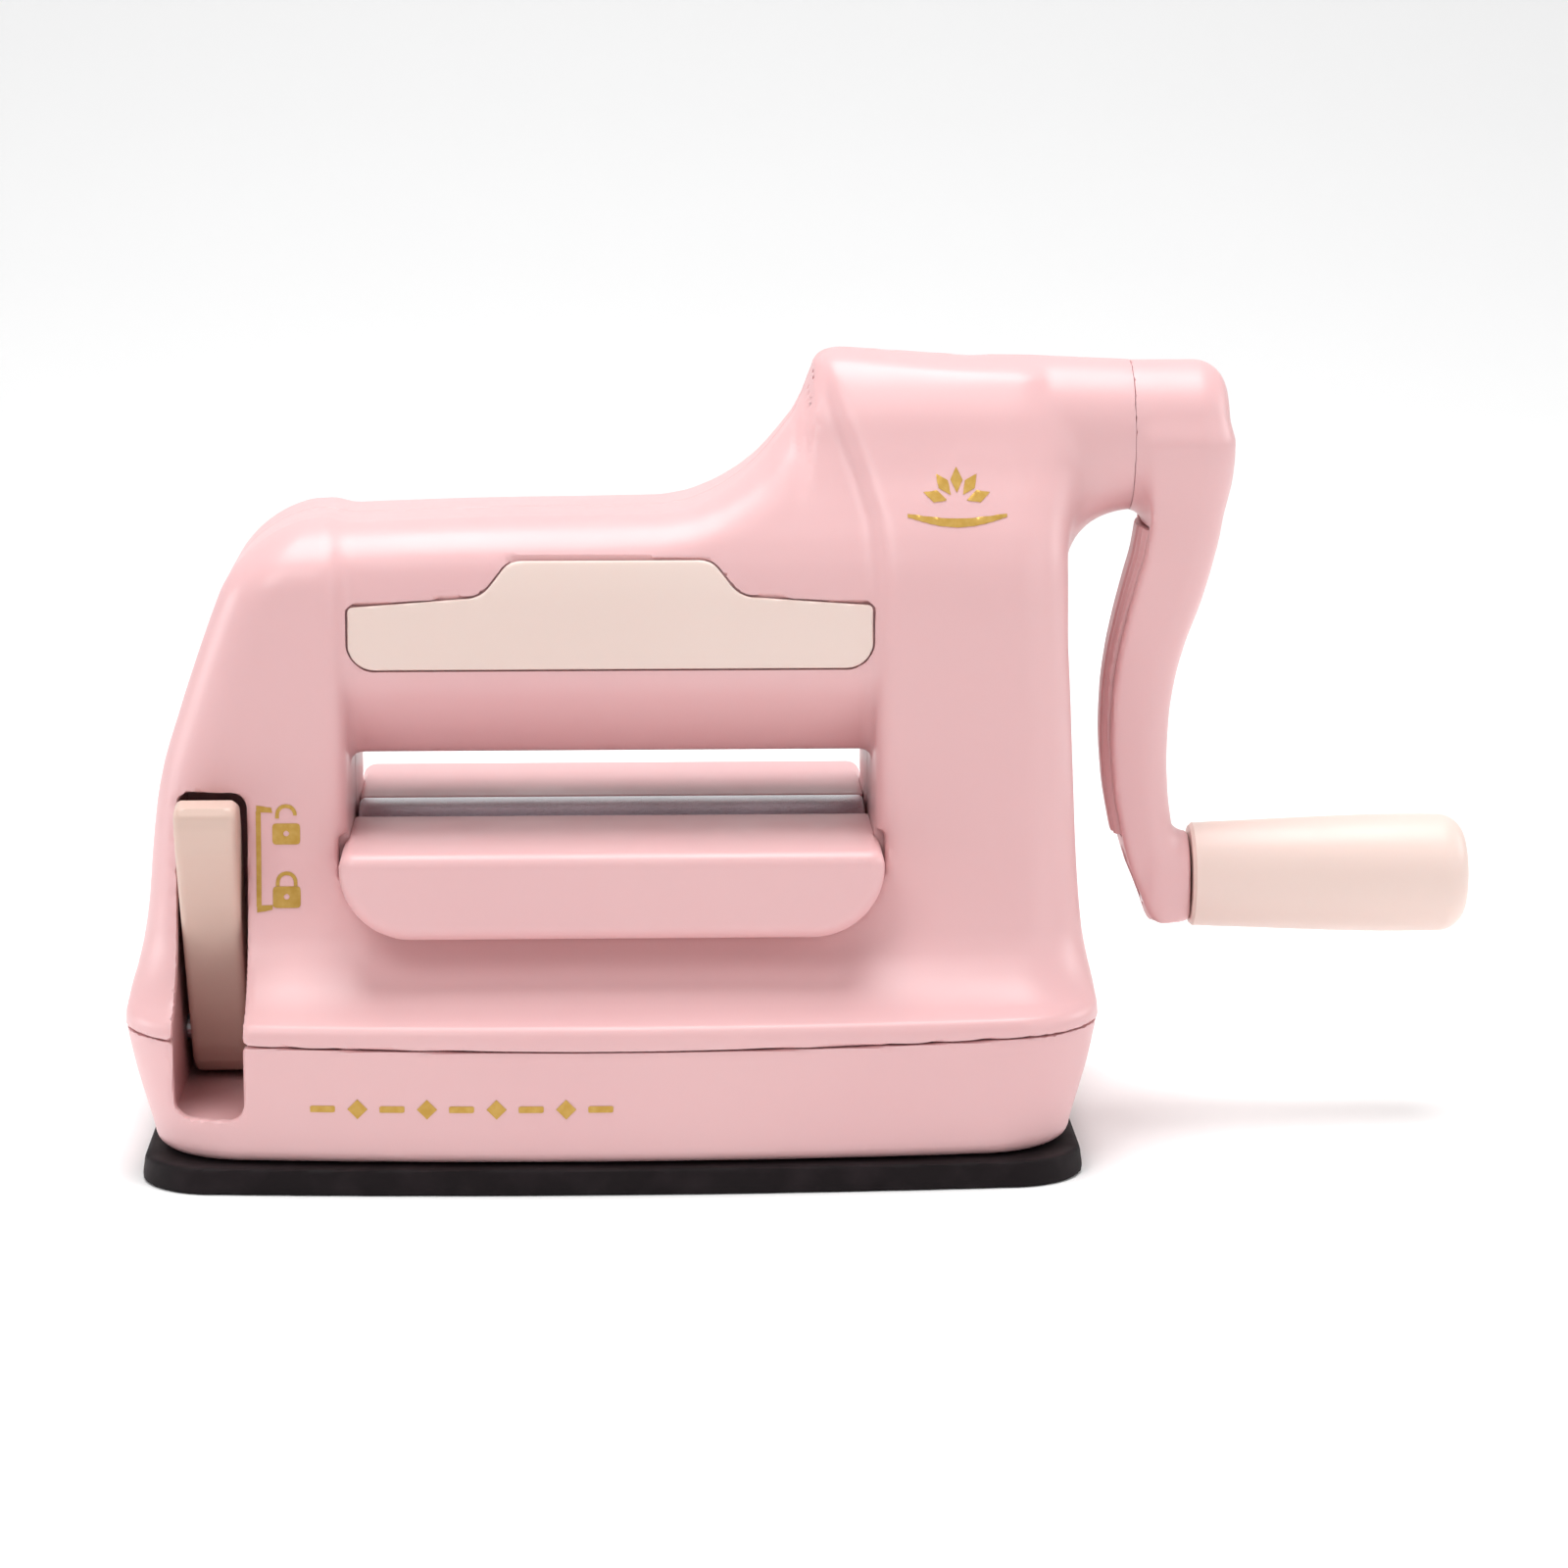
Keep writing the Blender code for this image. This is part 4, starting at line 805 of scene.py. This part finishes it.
class Nodes:
    """A node material and short hand for adding to it."""

    def __init__(self, name):
        """A new material with a principled shader."""
        self.material = bpy.data.materials.new(name)
        self.material.use_nodes = True
        self.tree = self.material.node_tree
        self.shader = self.tree.nodes["Principled BSDF"]
        self.place = self.tree.nodes.new("ShaderNodeTexCoord").outputs["Object"]

    def set(self, **values):
        """Give the shader's own sockets single values."""
        for key, value in values.items():
            self.shader.inputs[key.replace("_", " ")].default_value = value

    def noise(self, scale, detail=3.0, stretch=None):
        """Noise over the object's own place, stretched along an axis if asked."""
        source = self.place
        if stretch:
            mapping = self.tree.nodes.new("ShaderNodeMapping")
            mapping.inputs["Scale"].default_value = stretch
            self.tree.links.new(source, mapping.inputs["Vector"])
            source = mapping.outputs["Vector"]
        node = self.tree.nodes.new("ShaderNodeTexNoise")
        node.inputs["Scale"].default_value = scale
        node.inputs["Detail"].default_value = detail
        self.tree.links.new(source, node.inputs["Vector"])
        return node.outputs["Fac"]

    def ramp(self, source, low, high, start=0.3, end=0.7):
        """A source spread from its start and end to a low and a high value."""
        node = self.tree.nodes.new("ShaderNodeMapRange")
        node.inputs["From Min"].default_value = start
        node.inputs["From Max"].default_value = end
        node.inputs["To Min"].default_value = low
        node.inputs["To Max"].default_value = high
        self.tree.links.new(source, node.inputs["Value"])
        return node.outputs["Result"]

    def mix(self, factor, a, b):
        """A blend of two colours."""
        node = self.tree.nodes.new("ShaderNodeMix")
        node.data_type = "RGBA"
        for socket, value in (("A", a), ("B", b)):
            found = [s for s in node.inputs if s.name == socket and s.type == "RGBA"][0]
            if isinstance(value, tuple):
                found.default_value = (*value, 1.0)
            else:
                self.tree.links.new(value, found)
        self.tree.links.new(factor, node.inputs["Factor"])
        return [s for s in node.outputs if s.type == "RGBA"][0]

    def feed(self, socket, source):
        """Link a source to one of the shader's sockets."""
        self.tree.links.new(source, self.shader.inputs[socket])

    def bump(self, source, height, strength=0.4):
        """Fine relief."""
        node = self.tree.nodes.new("ShaderNodeBump")
        node.inputs["Strength"].default_value = strength
        node.inputs["Distance"].default_value = height
        self.tree.links.new(source, node.inputs["Height"])
        self.tree.links.new(node.outputs["Normal"], self.shader.inputs["Normal"])


def plastic(name, colour, deep, rough, glow):
    """Satin moulded plastic: faint mottling, fine grain, a few dull patches."""
    m = Nodes(name)
    broad = m.ramp(m.noise(18, 2), 0.0, 1.0)
    m.feed("Base Color", m.mix(broad, colour, deep))
    m.feed("Roughness", m.ramp(m.noise(60, 4), rough - 0.04, rough + 0.06))
    m.bump(m.noise(2600, 2), 0.00002, 0.22)
    m.set(Subsurface_Weight=glow, Subsurface_Scale=0.003, Specular_IOR_Level=0.5)
    m.shader.inputs["Subsurface Radius"].default_value = (1.0, 0.45, 0.35)
    return m.material


def rubber_material():
    """Matt black rubber with dust and fine texture."""
    m = Nodes("rubber_black")
    dust = m.ramp(m.noise(140, 6), 0.0, 1.0, 0.45, 0.75)
    m.feed("Base Color", m.mix(dust, (0.008, 0.005, 0.006), (0.018, 0.012, 0.014)))
    m.feed("Roughness", m.ramp(m.noise(90, 4), 0.55, 0.75))
    m.bump(m.noise(1800, 3), 0.00004, 0.35)
    m.set(Specular_IOR_Level=0.15)
    return m.material


def metal(name, colour, dark, low, high, stretch=None, grain=900):
    """Metal with fine scratches along one direction and slight staining."""
    m = Nodes(name)
    stain = m.ramp(m.noise(70, 5), 0.0, 1.0)
    m.feed("Base Color", m.mix(stain, colour, dark))
    lines = m.noise(grain, 3, stretch)
    m.feed("Roughness", m.ramp(lines, low, high))
    m.bump(lines, 0.00003, 0.25)
    m.set(Metallic=1.0)
    return m.material


def gold_material():
    """Warm gold ink, slightly worn."""
    m = Nodes("print_gold")
    wear = m.ramp(m.noise(900, 4), 0.0, 1.0, 0.35, 0.8)
    m.feed("Base Color", m.mix(wear, (0.50, 0.29, 0.05), (0.60, 0.38, 0.10)))
    m.feed("Roughness", m.ramp(m.noise(500, 3), 0.34, 0.5))
    m.set(Metallic=0.45)
    return m.material


def dress_cad(materials):
    """Give every CAD node that still shows a detailed material of its own kind."""
    slots = {row["node"]: row["material_slot"] for row in frame["record"]["subparts"]}
    for name, obj in frame["nodes"].items():
        obj.data.materials.clear()
        obj.data.materials.append(materials[slots[name]])


# ---------------------------------------------------------------- studio


FLOOR_FRONT, FLOOR_BACK, FLOOR_HALF = -2.5, 0.6, 4.0
SWEEP_R, WALL_TOP = 0.9, 3.5
WORLD_STRENGTH = 0.42
LAMP_AIM = Vector(((MID_X + 20) * MM, 0, 0.06))
# name, place from the aim in metres, diameter in metres, power in watts
LAMPS = (
    ("key", (-0.45, -0.7, 0.85), 0.6, 3.35),
    ("fill", (0.8, -0.7, 0.35), 0.7, 1.3),
    ("top", (0.0, 0.1, 1.0), 0.8, 10.6),
    ("left_edge", (-0.9, 0.15, 0.2), 0.4, 1.8),
    ("right_edge", (0.9, 0.2, 0.3), 0.4, 1.6),
)


def paper_floor():
    """Pale floor that curves up into a wall behind the machine."""
    section = [(FLOOR_FRONT, 0.0), (FLOOR_BACK, 0.0)]
    for a in np.linspace(0.1, math.pi / 2, 12):
        section.append((FLOOR_BACK + SWEEP_R * math.sin(a), SWEEP_R - SWEEP_R * math.cos(a)))
    section.append((FLOOR_BACK + SWEEP_R, WALL_TOP))
    bm = bmesh.new()
    rows = [[bm.verts.new((x, y, z)) for x in (-FLOOR_HALF, FLOOR_HALF)] for y, z in section]
    for a, b in zip(rows, rows[1:]):
        bm.faces.new((a[0], a[1], b[1], b[0]))
    mesh = bpy.data.meshes.new("studio_floor")
    bm.to_mesh(mesh)
    bm.free()
    mesh.polygons.foreach_set("use_smooth", np.ones(len(mesh.polygons), bool))
    floor = bpy.data.objects.new("studio_floor", mesh)
    bpy.context.scene.collection.objects.link(floor)
    paper = Nodes("paper")
    paper.feed("Base Color", paper.mix(paper.noise(2), (0.93, 0.93, 0.93), (0.95, 0.95, 0.95)))
    paper.feed("Roughness", paper.ramp(paper.noise(30), 0.85, 0.95))
    mesh.materials.append(paper.material)


def studio():
    """White surroundings and soft lamps: a key from the left, a fill from the right, one above."""
    scene = bpy.context.scene
    world = bpy.data.worlds.new("studio")
    scene.world = world
    scene.view_settings.view_transform = "Standard"
    world.use_nodes = True
    background = world.node_tree.nodes["Background"]
    background.inputs["Color"].default_value = (1.0, 1.0, 1.0, 1.0)
    background.inputs["Strength"].default_value = WORLD_STRENGTH
    paper_floor()
    for name, place, size, power in LAMPS:
        data = bpy.data.lights.new(name, "AREA")
        data.shape = "DISK"
        data.size = size
        data.energy = power
        lamp = bpy.data.objects.new(name, data)
        lamp.location = LAMP_AIM + Vector(place)
        lamp.rotation_euler = (LAMP_AIM - lamp.location).to_track_quat("-Z", "Y").to_euler()
        scene.collection.objects.link(lamp)


CAMERA_AZIMUTH, CAMERA_ELEVATION = math.radians(-2.0), math.radians(10.5)
CAMERA_DISTANCE, CAMERA_LENS = 0.770, 112.0
CAMERA_AIM = Vector(((MID_X + 27.15) * MM, 0.0, 0.0531))


def camera():
    """A long lens in front of the machine and a little above."""
    back = Vector((
        math.sin(CAMERA_AZIMUTH) * math.cos(CAMERA_ELEVATION),
        -math.cos(CAMERA_AZIMUTH) * math.cos(CAMERA_ELEVATION),
        math.sin(CAMERA_ELEVATION),
    ))
    data = bpy.data.cameras.new("camera")
    data.lens = CAMERA_LENS
    data.sensor_width = 36.0
    obj = bpy.data.objects.new("camera", data)
    obj.location = CAMERA_AIM + back * CAMERA_DISTANCE
    obj.rotation_euler = (-back).to_track_quat("-Z", "Y").to_euler()
    bpy.context.scene.collection.objects.link(obj)
    bpy.context.scene.camera = obj


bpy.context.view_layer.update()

pink = plastic("pink_satin", (0.745, 0.455, 0.46), (0.73, 0.435, 0.445), 0.36, 0.1)
cream = plastic("cream_satin", (0.80, 0.635, 0.575), (0.78, 0.61, 0.55), 0.4, 0.1)
# Darker copy of the cream for the lever: painted shade, as if the lever sat deep in the shadow of its slot.
lever_painted_shade_cream = plastic("cream_with_painted_shade", (0.66, 0.48, 0.41), (0.63, 0.455, 0.385), 0.42, 0.1)
rubber = rubber_material()
steel = metal("steel_ground", (0.80, 0.79, 0.83), (0.70, 0.69, 0.72), 0.24, 0.4, (1.0, 30.0, 30.0))
zinc = metal("zinc_sheet", (0.55, 0.56, 0.6), (0.42, 0.43, 0.45), 0.35, 0.55)
sintered = metal("steel_sintered", (0.38, 0.38, 0.4), (0.26, 0.25, 0.24), 0.35, 0.6, None, 1500)
bronze = metal("bronze_bush", (0.72, 0.52, 0.27), (0.55, 0.38, 0.2), 0.3, 0.5)
gold = gold_material()

dress_cad({
    "pink_plastic": pink,
    "cream_plastic": cream,
    "black_rubber": rubber,
    "steel": steel,
    "zinc_plate": zinc,
    "gear_steel": sintered,
    "brass": bronze,
})
build_housing(pink)
build_shells(pink, cream, rubber)
build_lever(lever_painted_shade_cream)
build_crank(pink, cream)
build_rollers(steel)
print_locks(gold)
print_emblem(gold)
print_ornament(gold)
studio()
camera()
